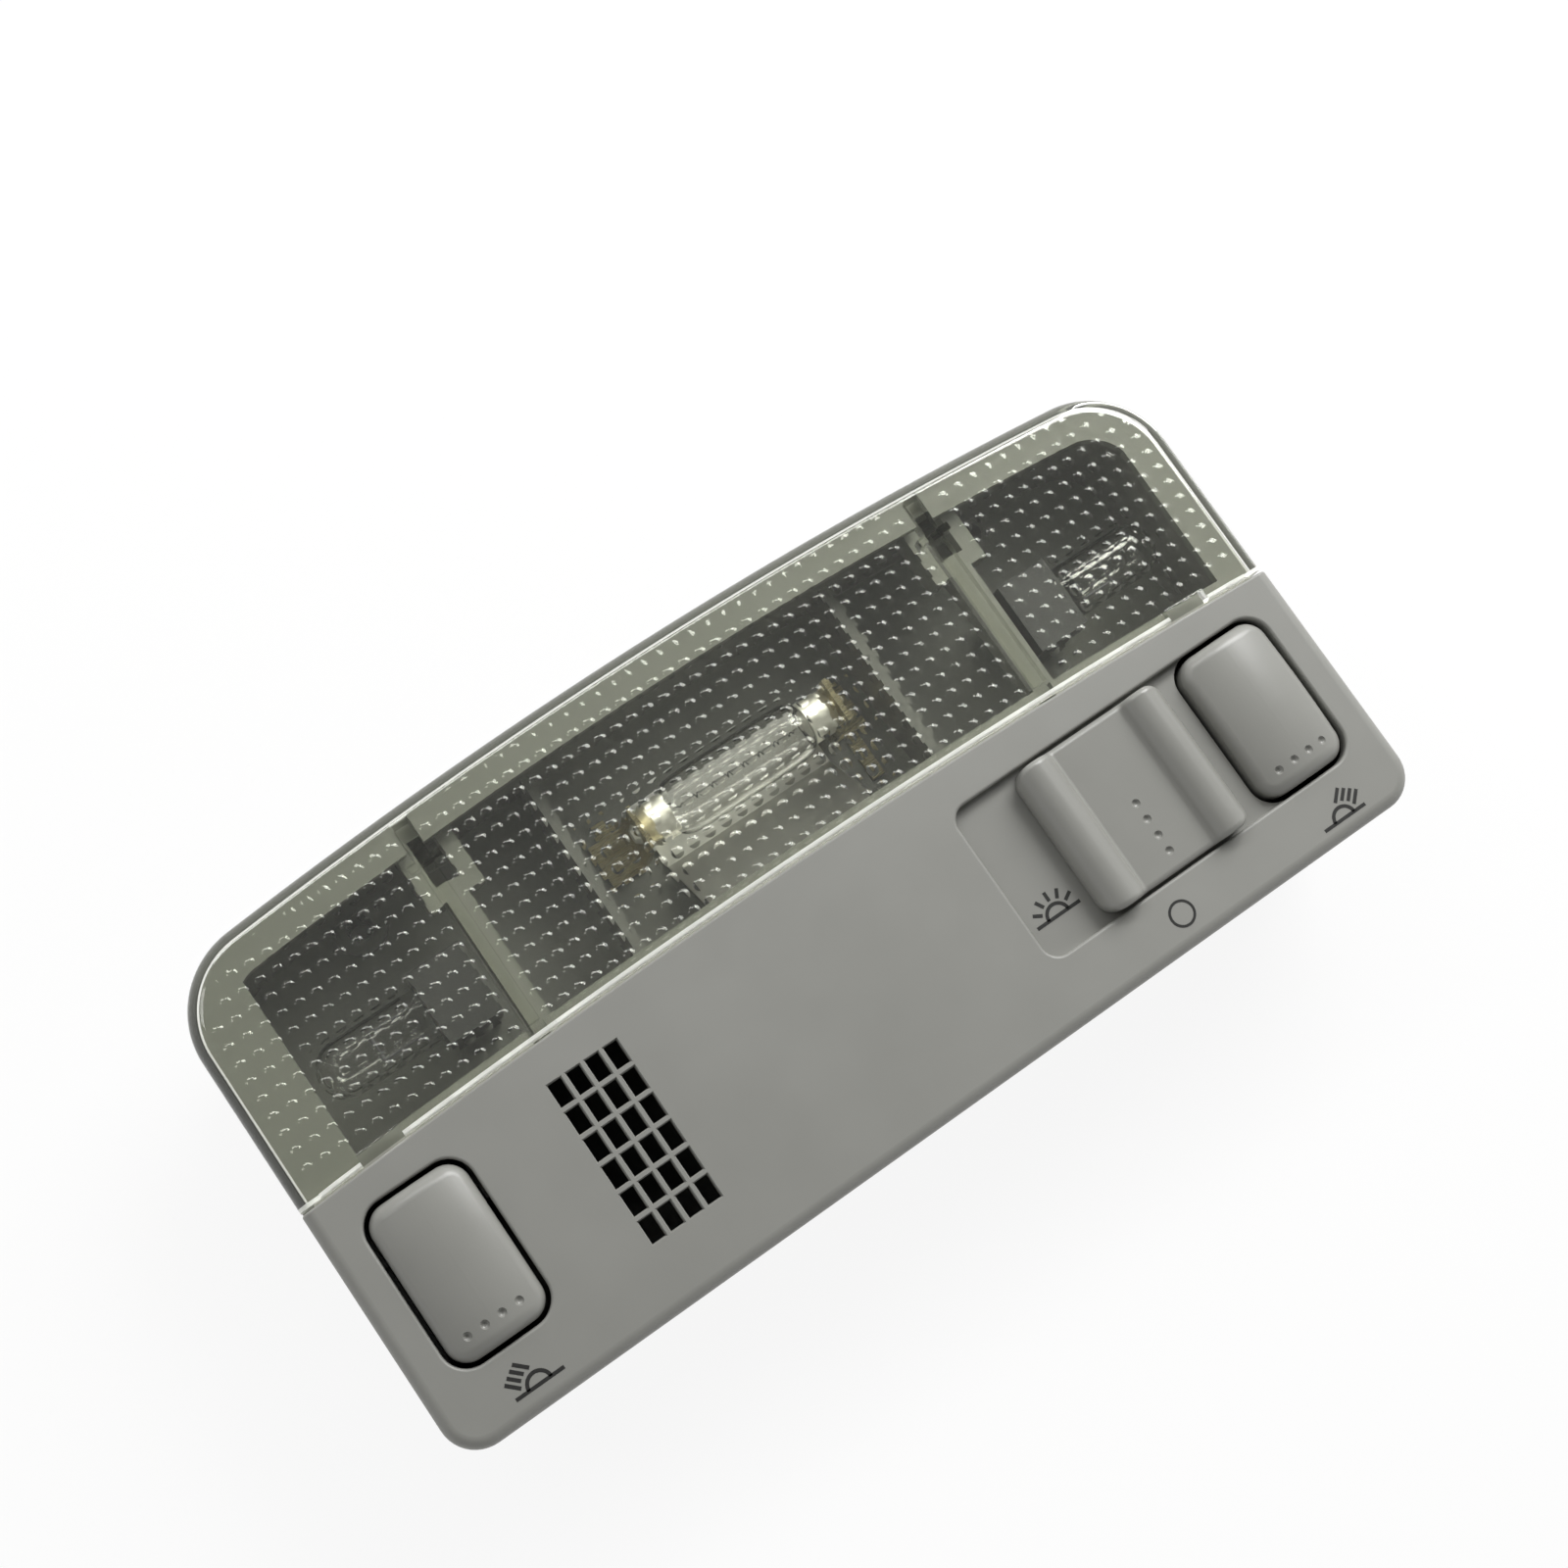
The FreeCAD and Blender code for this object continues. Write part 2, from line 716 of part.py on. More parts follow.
def connector_pins():
    """Row of contact pins through the socket's roof."""
    pins = []
    for number in range(pin_count):
        x = socket_place_x + (number - (pin_count - 1) / 2) * pin_pitch
        pins.append(post(x, socket_y, pin_radius, pin_recess, socket_depth + socket_wall + pin_tail))
    return group(pins)


def rocker_button(side):
    """Crowned button shell with a pivot rod, a press post and a row of touch dots."""
    x = rocker_x(side)
    top = face_height + rocker_rise
    corner = rocker_hole_corner - rocker_gap
    button = rounded_bar(x, rocker_y, rocker_width, rocker_length, corner, rocker_low, top)
    crown = Part.makeTorus(rocker_crown_along - rocker_crown_across, rocker_crown_across,
                           V(x, rocker_y, top - rocker_crown_along), X_AXIS)
    button = button.common(crown)
    crest = [edge for edge in button.Edges if edge.BoundBox.ZMin > face_height - rocker_skirt / 2]
    button = button.makeFillet(rocker_edge_round, crest)
    hollow = rounded_bar(x, rocker_y, rocker_width - 2 * rocker_wall, rocker_length - 2 * rocker_wall,
                         corner - rocker_wall, rocker_low, top - rocker_roof)
    button = button.cut(hollow)
    reach = rocker_width / 2 + pivot_side_gap + pivot_ear_wall
    rod = Part.makeCylinder(pivot_radius, 2 * reach, V(x - reach, pivot_y, pivot_z), X_AXIS)
    stud = post(x, press_y, post_radius, plunger_top + press_gap, top - rocker_roof)
    button = joined([button, rod, stud])
    dots = []
    dot_y = rocker_y - rocker_dot_reach
    for number in range(dot_count):
        offset = (number - (dot_count - 1) / 2) * dot_pitch
        sag = crown_sag(offset, rocker_dot_reach)
        dots.append(Part.makeSphere(dot_radius, V(x + offset, dot_y, top - sag + dot_radius - dot_sink)))
    return button.cut(dots)


def crown_sag(across, along):
    """How far a rocker's crown has dropped at a point away from its middle."""
    fall = rocker_crown_across - sqrt(rocker_crown_across ** 2 - across ** 2)
    radius = rocker_crown_along - fall
    return rocker_crown_along - sqrt(radius ** 2 - along ** 2)


def push_switch(side):
    """Switch body on the carrier's floor with a bore for its plunger."""
    x = rocker_x(side)
    body = bar(x, press_y, push_switch_size, push_switch_size, floor_z, floor_z + push_switch_height)
    bore = post(x, press_y, plunger_radius + pivot_running_fit, floor_z + plunger_floor,
                floor_z + push_switch_height)
    return body.cut(bore)


def switch_plunger(side):
    """Plunger that a rocker button's post pushes down."""
    plunger = post(rocker_x(side), press_y, plunger_radius, plunger_bottom, plunger_top)
    rim = flat_edges(plunger, plunger_top, -far, far)
    return plunger.makeFillet(plunger_round, rim)


def slider_knob():
    """Saddle-shaped knob: two rounded ridges, a flat valley, touch dots and a stem."""
    half = knob_length / 2
    low = recess_floor + slide_gap
    valley = face_height + knob_valley_rise
    crest_x = half - knob_crest_radius
    crest_z = face_height + knob_crest_rise - knob_crest_radius
    bend_z = valley + knob_valley_round
    reach = knob_crest_radius + knob_valley_round
    step = sqrt(reach ** 2 - (bend_z - crest_z) ** 2)
    bend_x = crest_x - step
    meet_x = crest_x - step * knob_crest_radius / reach
    meet_z = crest_z + (bend_z - crest_z) * knob_crest_radius / reach
    half_turn = asin(step / reach) / 2
    turn = knob_valley_round * sin(half_turn)
    dip = bend_z - knob_valley_round * cos(half_turn)
    back = slider_y - knob_depth / 2

    def at(x, z):
        return V(slider_x + x, back, z)

    def ridge(side):
        crest = Part.Arc(at(side * half, crest_z), at(side * crest_x, crest_z + knob_crest_radius),
                         at(side * meet_x, meet_z))
        slope = Part.Arc(at(side * meet_x, meet_z), at(side * (bend_x + turn), dip),
                         at(side * bend_x, valley))
        return [crest.toShape(), slope.toShape()]

    edges = [Part.LineSegment(at(-half, low), at(-half, crest_z)).toShape()]
    edges += ridge(-1)
    edges.append(Part.LineSegment(at(-bend_x, valley), at(bend_x, valley)).toShape())
    edges += ridge(1)[::-1]
    edges.append(Part.LineSegment(at(half, crest_z), at(half, low)).toShape())
    edges.append(Part.LineSegment(at(half, low), at(-half, low)).toShape())
    saddle = extruded(Part.__sortEdges__(edges), V(0, knob_depth, 0))
    saddle = saddle.common(rounded_bar(slider_x, slider_y, knob_length, knob_depth, knob_corner,
                                       low, face_height + knob_crest_rise))
    ends = []
    for edge in saddle.Edges:
        box = edge.BoundBox
        if box.YLength < 1e-6 and box.ZMax > low + knob_edge_round:
            ends.append(edge)
    saddle = saddle.makeFillet(knob_edge_round, ends)
    dots = []
    for number in range(dot_count):
        y = slider_y - knob_dot_first - number * dot_pitch
        dots.append(Part.makeSphere(dot_radius, V(slider_x, y, valley + dot_radius - dot_sink)))
    stem = bar(slider_x, slider_y, stem_length, stem_width, carriage_bottom, low + knob_edge_round)
    return joined([saddle, stem]).cut(dots)


def slider_carriage():
    """Block under the panel that the knob's stem is fixed in."""
    body = bar(slider_x, slider_y, carriage_length, carriage_width, carriage_bottom, carriage_top)
    return body.cut(bar(slider_x, slider_y, stem_length, stem_width, carriage_bottom, carriage_top))


def slider_wiper():
    """Sprung contact plate under the carriage, with a bump over each track."""
    plate = bar(slider_x, slider_y, carriage_length, carriage_width, wiper_bottom, carriage_bottom)
    bumps = []
    for y in track_places():
        start = V(slider_x - track_width / 2, y, wiper_bottom)
        bumps.append(Part.makeCylinder(wiper_bump_radius, track_width, start, X_AXIS))
    lowest = block(-far, far, -far, far, wiper_bottom - 2 * wiper_bump_radius, carriage_bottom)
    return joined([plate] + bumps).common(lowest)


def track_places():
    """Y places of the slider's contact tracks."""
    return [slider_y + (number - (track_count - 1) / 2) * track_pitch for number in range(track_count)]


def slider_tracks():
    """Fixed contact strips on the pedestal."""
    middle_x = slider_x - slider_travel / 2
    length = carriage_length + slider_travel
    return group([bar(middle_x, y, length, track_width, pedestal_top, track_top) for y in track_places()])


def turned_about_x(points, start_x, y, z):
    """Solid of revolution about a line along X, from its profile of distances along and radii."""
    corners = [V(start_x + along, y, z + radius) for along, radius in points]
    wire = Part.makePolygon(corners + [corners[0]])
    return Part.Face(wire).revolve(V(start_x, y, z), X_AXIS, 360)


def dome_bulb_glass():
    """Hollow glass tube of the festoon bulb, drawn in at both ends."""
    start = dome_x - festoon_glass_length / 2
    inner = festoon_radius - festoon_glass_wall
    neck = cap_radius - festoon_glass_wall
    neck_inner = neck - festoon_glass_wall
    last = festoon_glass_length
    profile = [
        (0, neck),
        (festoon_shoulder, festoon_radius),
        (last - festoon_shoulder, festoon_radius),
        (last, neck),
        (last, neck_inner),
        (last - festoon_shoulder, inner),
        (festoon_shoulder, inner),
        (0, neck_inner),
    ]
    return turned_about_x(profile, start, dome_y, dome_z)


def dome_bulb_caps():
    """Pair of pressed metal end caps with pointed tips."""
    caps = []
    straight = (festoon_length - festoon_glass_length) / 2 - cap_cone
    for side in SIDES.values():
        start = dome_x + side * festoon_glass_length / 2
        cup = Part.makeCylinder(cap_radius, straight, V(start, dome_y, dome_z), X_AXIS * side)
        tip_start = V(start + side * straight, dome_y, dome_z)
        tip = Part.makeCone(cap_radius, cap_tip_radius, cap_cone, tip_start, X_AXIS * side)
        caps.append(joined([cup, tip]))
    return group(caps)


def dome_bulb_filament():
    """Filament wire between the two caps."""
    start = V(dome_x - festoon_glass_length / 2, dome_y, dome_z)
    return Part.makeCylinder(filament_radius, festoon_glass_length, start, X_AXIS)


def dome_contact(side):
    """Brass strip that stands on the floor and holds one tip of the festoon bulb."""
    face_x = dome_x + side * (festoon_length / 2 - cap_cone / 2)
    other_x = face_x + side * dome_contact_wall
    foot_x = face_x + side * dome_foot_length
    half = dome_contact_width / 2
    upright = block(min(face_x, other_x), max(face_x, other_x), dome_y - half, dome_y + half,
                    floor_z, dome_z + dome_contact_rise)
    foot = block(min(face_x, foot_x), max(face_x, foot_x), dome_y - half, dome_y + half,
                 floor_z, floor_z + dome_contact_wall)
    leg = dome_leg(side, 0)
    strip = joined([upright, foot, leg])
    tip = Part.makeCone(cap_radius, cap_tip_radius, cap_cone,
                        V(dome_x + side * (festoon_length / 2 - cap_cone), dome_y, dome_z), X_AXIS * side)
    return strip.cut(tip)


def dome_leg(side, grow):
    """Leg of a dome contact through the floor, or its slot when grown."""
    y = earth_bar_y if side < 0 else supply_bar_y
    x = dome_x + side * (festoon_length / 2 - cap_cone / 2 + dome_foot_length / 2)
    half = dome_contact_width / 2
    y_near = dome_y - half if y < dome_y else dome_y + half
    half_leg = leg_width / 2
    run = block(x - half_leg, x + half_leg, min(y_near, y) - half_leg, max(y_near, y) + half_leg,
                floor_z, floor_z + dome_contact_wall)
    down = bar(x, y, leg_width + 2 * grow, leg_width + 2 * grow, floor_height, floor_z + dome_contact_wall)
    return down if grow else joined([run, down])


def dome_reflector():
    """Bright sheet under the dome bulb that climbs towards the seam."""
    low = floor_z
    start_y = dome_y + reflector_flat / 2
    turn_y = dome_y - reflector_flat / 2
    end_y = seam_y + window_sill
    under = low + reflector_lift - reflector_wall
    points = [
        (start_y, low),
        (start_y, low + reflector_lift),
        (turn_y, low + reflector_lift),
        (end_y, low + reflector_rise),
        (end_y, low + reflector_rise - reflector_wall * 2),
        (turn_y, under),
        (start_y - reflector_wall, under),
        (start_y - reflector_wall, low),
    ]
    corners = [V(dome_x - reflector_length / 2, y, z) for y, z in points]
    return Part.Face(Part.makePolygon(corners + [corners[0]])).extrude(V(reflector_length, 0, 0))


def holder_x(side):
    """Inner face of a reading bulb's holder."""
    return divider_x(side) + side * holder_gap


def bulb_holder(side):
    """Plastic block on the floor that grips a wedge bulb."""
    start = holder_x(side)
    end = start + side * holder_length
    half = holder_width / 2
    body = block(min(start, end), max(start, end), reading_y - half, reading_y + half,
                 floor_z, floor_z + holder_height)
    return body.cut(wedge_pocket(side))


def wedge_pocket(side):
    """Room in the holder for the bulb's base and its two contacts."""
    end = holder_x(side) + side * holder_length
    start = end - side * wedge_base_length
    half = wedge_base_width / 2 + wedge_contact_wall
    tall = wedge_base_wall / 2 + wedge_contact_wall
    return block(min(start, end), max(start, end), reading_y - half, reading_y + half,
                 reading_z - tall, reading_z + tall)


def reading_bulb(side):
    """Wedge bulb: a hollow glass tube with a domed tip and a flat pressed base."""
    mouth = holder_x(side) + side * holder_length
    straight = wedge_glass_length - wedge_radius
    outer = Part.makeCylinder(wedge_radius, straight, V(mouth, reading_y, reading_z), X_AXIS * side)
    tip = V(mouth + side * straight, reading_y, reading_z)
    outer = joined([outer, Part.makeSphere(wedge_radius, tip)])
    inner_radius = wedge_radius - wedge_glass_wall
    inner_start = V(mouth + side * wedge_base_wall, reading_y, reading_z)
    inner = Part.makeCylinder(inner_radius, straight - wedge_base_wall, inner_start, X_AXIS * side)
    inner = joined([inner, Part.makeSphere(inner_radius, tip)])
    base_end = mouth - side * wedge_base_length
    half = wedge_base_width / 2
    base = block(min(mouth, base_end), max(mouth, base_end), reading_y - half, reading_y + half,
                 reading_z - wedge_base_wall / 2, reading_z + wedge_base_wall / 2)
    return joined([outer, base]).cut(inner)


def reading_filament(side):
    """Filament of a reading bulb on its two support wires."""
    mouth = holder_x(side) + side * holder_length
    start_x = mouth + side * wedge_base_wall
    reach = wedge_glass_length / 2 - wedge_base_wall
    half = wedge_radius / 2
    wires = []
    for end in SIDES.values():
        foot = V(start_x, reading_y + end * half, reading_z)
        wires.append(Part.makeCylinder(filament_radius, reach, foot, X_AXIS * side))
    span_x = start_x + side * (reach - filament_radius)
    coil = Part.makeCylinder(coil_radius, 2 * half, V(span_x, reading_y - half, reading_z), Y_AXIS)
    return joined([coil] + wires)


def bulb_contacts(side):
    """Two brass strips, above and below the wedge base."""
    end = holder_x(side) + side * holder_length
    start = end - side * wedge_base_length
    strips = []
    for level in SIDES.values():
        near = reading_z + level * wedge_base_wall / 2
        other = near + level * wedge_contact_wall
        strips.append(block(min(start, end), max(start, end), reading_y - wedge_contact_width / 2,
                            reading_y + wedge_contact_width / 2, min(near, other), max(near, other)))
    return group(strips)


def busbar(y):
    """Flat brass strip along the back of the floor."""
    return bar(interior_offset, y, busbar_length, busbar_width, floor_height - busbar_wall, floor_height)


def busbar_channels():
    """Gaps in the rear ribs where the busbars pass."""
    cuts = []
    length = busbar_length + 2 * channel_fit
    width = busbar_width + 2 * channel_fit
    for y in (earth_bar_y, supply_bar_y):
        low = floor_height - busbar_wall - channel_fit
        cuts.append(bar(interior_offset, y, length, width, low, floor_height))
    return cuts


def leg_slots():
    """Slots in the floor for the dome contacts' legs."""
    return [dome_leg(side, slot_fit) for side in SIDES.values()]


def assembly_screws():
    """Pan-head screws from the rear into the front housing's bosses."""
    screws = []
    for x, y in screw_places():
        head_low = floor_height - screw_head_height
        slot_top = head_low + screw_head_height / 2
        head = post(x, y, screw_head_radius, head_low, floor_height)
        shank = post(x, y, screw_radius, floor_height, floor_height + screw_length)
        slot = bar(x, y, screw_radius * 2, screw_radius / 2, head_low, slot_top)
        cross = bar(x, y, screw_radius / 2, screw_radius * 2, head_low, slot_top)
        screws.append(joined([head, shank]).cut([slot, cross]))
    return group(screws)


def retaining_clip(side):
    """Bowed spring-steel strip on an end wall of the carrier."""
    wall_x = light_length / 2 - carrier_inset
    y = seam_y - clip_from_seam - clip_width / 2
    middle = clip_bottom + clip_height / 2

    def at(reach, z):
        return V(side * (wall_x + reach), y, z)

    top = clip_bottom + clip_height
    bow_start = clip_bottom + clip_foot
    bow = middle + clip_foot
    outer = Part.Arc(at(clip_wall, bow_start), at(clip_wall + clip_bulge, bow), at(clip_wall, top))
    inner = Part.Arc(at(0, top), at(clip_bulge, bow), at(0, bow_start))
    edges = [
        Part.LineSegment(at(0, clip_bottom), at(clip_wall, clip_bottom)).toShape(),
        Part.LineSegment(at(clip_wall, clip_bottom), at(clip_wall, bow_start)).toShape(),
        outer.toShape(),
        Part.LineSegment(at(clip_wall, top), at(0, top)).toShape(),
        inner.toShape(),
        Part.LineSegment(at(0, bow_start), at(0, clip_bottom)).toShape(),
    ]
    return extruded(edges, V(0, clip_width, 0))


def nodes():
    """Every node of the light by name."""
    made = {
        "front_housing": front_housing(),
        "lens": lens(),
        "rear_carrier": rear_carrier(),
        "slider_knob": slider_knob(),
        "slider_carriage": slider_carriage(),
        "slider_wiper": slider_wiper(),
        "slider_tracks": slider_tracks(),
        "dome_bulb_glass": dome_bulb_glass(),
        "dome_bulb_caps": dome_bulb_caps(),
        "dome_bulb_filament": dome_bulb_filament(),
        "dome_reflector": dome_reflector(),
        "earth_busbar": busbar(earth_bar_y),
        "supply_busbar": busbar(supply_bar_y),
        "connector_pins": connector_pins(),
        "assembly_screws": assembly_screws(),
    }
    for name, side in SIDES.items():
        made[name + "_rocker_button"] = rocker_button(side)
        made[name + "_push_switch"] = push_switch(side)
        made[name + "_switch_plunger"] = switch_plunger(side)
        made[name + "_dome_contact"] = dome_contact(side)
        made[name + "_bulb_holder"] = bulb_holder(side)
        made[name + "_reading_bulb"] = reading_bulb(side)
        made[name + "_reading_filament"] = reading_filament(side)
        made[name + "_bulb_contacts"] = bulb_contacts(side)
        made[name + "_retaining_clip"] = retaining_clip(side)
    return made


os.makedirs("parts", exist_ok=True)
for node, shape in nodes().items():
    shape.exportStep("parts/" + node + ".step")
    print(node, "solids", len(shape.Solids), "valid", shape.isValid(), "volume", round(shape.Volume, 1))
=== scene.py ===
# %% [markdown]
# # A car interior reading light
# The light is a grey moulded housing with press buttons and a sliding switch, and a clear dimpled
# lens over one dome bulb and two reading bulbs. Its solids come from the frame and stay where they
# are. This lesson gives them finishes, models the lens, the bulb's glass and coil and the printed
# symbols as surfaces worked out with numpy, and then sets up the light and the camera.

# %% Load the frame
import json
import math

import bmesh
import bpy
import numpy as np
from mathutils import Matrix, Vector


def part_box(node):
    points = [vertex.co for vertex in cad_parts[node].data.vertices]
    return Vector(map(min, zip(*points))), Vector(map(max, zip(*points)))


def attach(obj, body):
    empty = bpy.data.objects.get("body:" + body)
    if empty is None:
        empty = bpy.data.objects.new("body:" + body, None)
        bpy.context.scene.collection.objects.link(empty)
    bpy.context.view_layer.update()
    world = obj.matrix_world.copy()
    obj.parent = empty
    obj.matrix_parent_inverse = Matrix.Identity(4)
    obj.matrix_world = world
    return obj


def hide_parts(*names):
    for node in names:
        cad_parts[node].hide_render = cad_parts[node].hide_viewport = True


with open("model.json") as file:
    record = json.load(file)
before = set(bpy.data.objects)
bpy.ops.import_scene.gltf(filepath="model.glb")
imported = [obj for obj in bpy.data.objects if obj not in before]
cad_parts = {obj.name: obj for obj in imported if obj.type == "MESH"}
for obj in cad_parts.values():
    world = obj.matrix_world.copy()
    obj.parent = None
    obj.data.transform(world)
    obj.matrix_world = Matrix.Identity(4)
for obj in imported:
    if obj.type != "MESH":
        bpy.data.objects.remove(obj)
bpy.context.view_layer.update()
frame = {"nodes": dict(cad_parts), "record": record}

# %% [markdown]
# ## Colours and nodes
# A given colour is an sRGB value, while a shader works in linear light. One function turns a
# hex code into linear values, so that every colour below can be written as it looks. A second one
# adds a node with its settings and links, which keeps each material's recipe short. The other two make
# an empty material, and turn a real size in millimetres into the scale of a noise.

# %% Helpers for materials
def linear(hex_code):
    """Linear RGBA of an sRGB hex code: below 0.04045 divide by 12.92, above it a 2.4 power."""
    parts = np.array([int(hex_code[i:i + 2], 16) for i in (1, 3, 5)]) / 255
    straight = parts / 12.92
    curved = ((parts + 0.055) / 1.055) ** 2.4
    return (*np.where(parts <= 0.04045, straight, curved).tolist(), 1.0)


def add(tree, kind, settings=None, links=None):
    """Adds a node, sets its own settings or its sockets, and links other outputs to its inputs."""
    made = tree.nodes.new(kind)
    for key, value in (settings or {}).items():
        if isinstance(key, str) and hasattr(made, key):
            setattr(made, key, value)
        else:
            made.inputs[key].default_value = value
    for key, source in (links or {}).items():
        tree.links.new(source, made.inputs[key])
    return made


def blank_material(name):
    """A new material with an empty node tree."""
    material = bpy.data.materials.new(name)
    material.use_nodes = True
    material.node_tree.nodes.clear()
    return material


def per_metre(size_mm):
    """Noise scale whose features are about this many millimetres wide."""
    return 1000 / size_mm


print("mid grey in linear light:", round(linear("#808080")[0], 3))

# %% [markdown]
# ## Moulded plastics
# The housing, the buttons and the inner parts are injection moulded. A mould's spark-eroded face
# leaves a fine grain that breaks up highlights, and the colour drifts a little over the part. Noise
# gives both: a wide one for colour and roughness, and a narrow one for the grain as bump. The real
# grain is about 0.1 mm, too fine for the picture, so it is drawn about four times coarser. The
# housing's frame under the clear lens is painted darker and greener than its panel, as painted shade
# for the light that the lens holds back. It starts at the seam, so a place on the solid decides which
# tone it has.

# %% A recipe for moulded plastics
plastic_ior = 1.53
plastic_swing = 0.06
grain_strength = 0.6
# The circle that the seam follows, and how far behind it the frame's painted shade starts, in millimetres
seam_radius = 1520.2
seam_middle_y = 1.95
frame_shade_gap = 0.15


def moulded_plastic(name, dark, light, roughness, grain_mm=0.4, grain_depth_mm=0.012, drift_mm=14,
                    frame_shade_tone=None):
    """Moulded plastic: colour and roughness drift with a wide noise, a narrow noise gives grain.

    With a painted shade tone for the frame, all that lies behind the seam's circle has that tone.
    A point is behind it where y plus x squared over twice the radius is more than y of the seam's
    middle and a gap.
    """
    material = blank_material(name)
    tree = material.node_tree
    place = add(tree, "ShaderNodeTexCoord").outputs["Object"]
    drift = add(tree, "ShaderNodeTexNoise", {"Scale": per_metre(drift_mm), "Detail": 4.0},
                {"Vector": place}).outputs[0]
    grain = add(tree, "ShaderNodeTexNoise", {"Scale": per_metre(grain_mm), "Detail": 2.0},
                {"Vector": place}).outputs[0]
    colour = add(tree, "ShaderNodeMix", {"data_type": "RGBA", 6: linear(dark), 7: linear(light)},
                 {0: drift}).outputs[2]
    # Painted shade: the frame behind the seam gets a darker, greener tone that stands in for the light
    # the lens holds back
    if frame_shade_tone:
        spot = add(tree, "ShaderNodeSeparateXYZ", links={0: place}).outputs
        square = add(tree, "ShaderNodeMath", {"operation": "MULTIPLY"},
                     {0: spot["X"], 1: spot["X"]}).outputs[0]
        bent = add(tree, "ShaderNodeMath", {"operation": "MULTIPLY_ADD", 1: 1000 / (2 * seam_radius)},
                   {0: square, 2: spot["Y"]}).outputs[0]
        behind = add(tree, "ShaderNodeMath",
                     {"operation": "GREATER_THAN", 1: (seam_middle_y + frame_shade_gap) / 1000},
                     {0: bent}).outputs[0]
        colour = add(tree, "ShaderNodeMix", {"data_type": "RGBA", 7: linear(frame_shade_tone)},
                     {0: behind, 6: colour}).outputs[2]
    shine = add(tree, "ShaderNodeMapRange",
                {"To Min": roughness - plastic_swing, "To Max": roughness + plastic_swing},
                {"Value": drift}).outputs[0]
    relief = add(tree, "ShaderNodeBump", {"Strength": grain_strength, "Distance": grain_depth_mm / 1000},
                 {"Height": grain}).outputs[0]
    shader = add(tree, "ShaderNodeBsdfPrincipled", {"IOR": plastic_ior},
                 {"Base Color": colour, "Roughness": shine, "Normal": relief}).outputs[0]
    add(tree, "ShaderNodeOutputMaterial", links={"Surface": shader})
    return material


# Satin ABS of the housing: a warm mid grey with a wide, soft highlight, and a darker, greener painted
# shade on the frame under the lens
panel_abs_frame_shade = moulded_plastic("satin_grey_abs_painted_frame_shade", "#868681", "#8e8e89", 0.45, frame_shade_tone="#5f6059")
# The buttons are the same ABS, polished a little by fingers
button_abs = moulded_plastic("fingered_grey_abs", "#868681", "#8e8e89", 0.33)
# Talc-filled polypropylene of the carrier: dark grey and dull
carrier_pp = moulded_plastic("charcoal_polypropylene", "#4e4e4a", "#5a5a55", 0.55)
# Acetal of the sliding pieces: milky white, smooth and waxy
acetal = moulded_plastic("white_acetal", "#dcdcd4", "#e6e6df", 0.35, grain_mm=0.8, grain_depth_mm=0.004)
# Black nylon of the switch bodies and the bulb holders: deep black with a faint sheen
switch_nylon = moulded_plastic("black_switch_nylon", "#151515", "#1e1e1e", 0.42)
holder_nylon = moulded_plastic("black_holder_nylon", "#181817", "#222220", 0.50)
print("plastics:", panel_abs_frame_shade.name, button_abs.name, carrier_pp.name, acetal.name,
      switch_nylon.name, holder_nylon.name)

# %% [markdown]
# ## Metals
# Contacts are rolled brass, the reflector is bright sheet under clear lacquer, screws are zinc plated
# and the clips are hardened spring steel. A rolled or drawn metal has long fine lines along the strip,
# so a noise that is stretched along X gives streaks in both roughness and relief. A wider noise that
# isn't stretched gives patches of tarnish.

# %% A recipe for rolled metal
metal_swing = 0.08
tarnish_mm = 5.0
line_strength = 0.4
line_depth_mm = 0.004


def rolled_metal(name, dark, light, roughness, line_mm=0.15, stretch=30.0):
    """Rolled metal: a noise drawn out along X gives streaks of shine and relief, a wide one colour."""
    material = blank_material(name)
    tree = material.node_tree
    place = add(tree, "ShaderNodeTexCoord").outputs["Object"]
    along = add(tree, "ShaderNodeMapping", {"Scale": (1 / stretch, 1.0, 1.0)},
                {"Vector": place}).outputs[0]
    streak = add(tree, "ShaderNodeTexNoise", {"Scale": per_metre(line_mm), "Detail": 3.0},
                 {"Vector": along}).outputs[0]
    tarnish = add(tree, "ShaderNodeTexNoise", {"Scale": per_metre(tarnish_mm), "Detail": 4.0},
                  {"Vector": place}).outputs[0]
    colour = add(tree, "ShaderNodeMix", {"data_type": "RGBA", 6: linear(dark), 7: linear(light)},
                 {0: tarnish}).outputs[2]
    shine = add(tree, "ShaderNodeMapRange",
                {"To Min": roughness - metal_swing, "To Max": roughness + metal_swing},
                {"Value": streak}).outputs[0]
    relief = add(tree, "ShaderNodeBump", {"Strength": line_strength, "Distance": line_depth_mm / 1000},
                 {"Height": streak}).outputs[0]
    shader = add(tree, "ShaderNodeBsdfPrincipled", {"Metallic": 1.0},
                 {"Base Color": colour, "Roughness": shine, "Normal": relief}).outputs[0]
    add(tree, "ShaderNodeOutputMaterial", links={"Surface": shader})
    return material


# Rolled brass: tarnished to a dull greyish yellow, with paler rubbed patches
brass = rolled_metal("rolled_brass", "#9c9272", "#c9bf9c", 0.28)
# Bright aluminium sheet under clear lacquer: a soft, pale mirror
reflector = rolled_metal("lacquered_bright_aluminium", "#c6c5c0", "#dddcd8", 0.34)
# Nickel-plated caps: pale, a little warm, with a broad satin highlight
cap_metal = rolled_metal("nickel_plated_brass", "#e0ddd2", "#f6f4ec", 0.46)
# Zinc plate: grey with a slight blue cast and a cloudy shine
zinc = rolled_metal("zinc_plated_steel", "#8d9194", "#b4b8ba", 0.36, stretch=4.0)
# Tempered spring steel: dark and oily looking
spring_steel = rolled_metal("tempered_spring_steel", "#6c6c6a", "#8b8b88", 0.30)
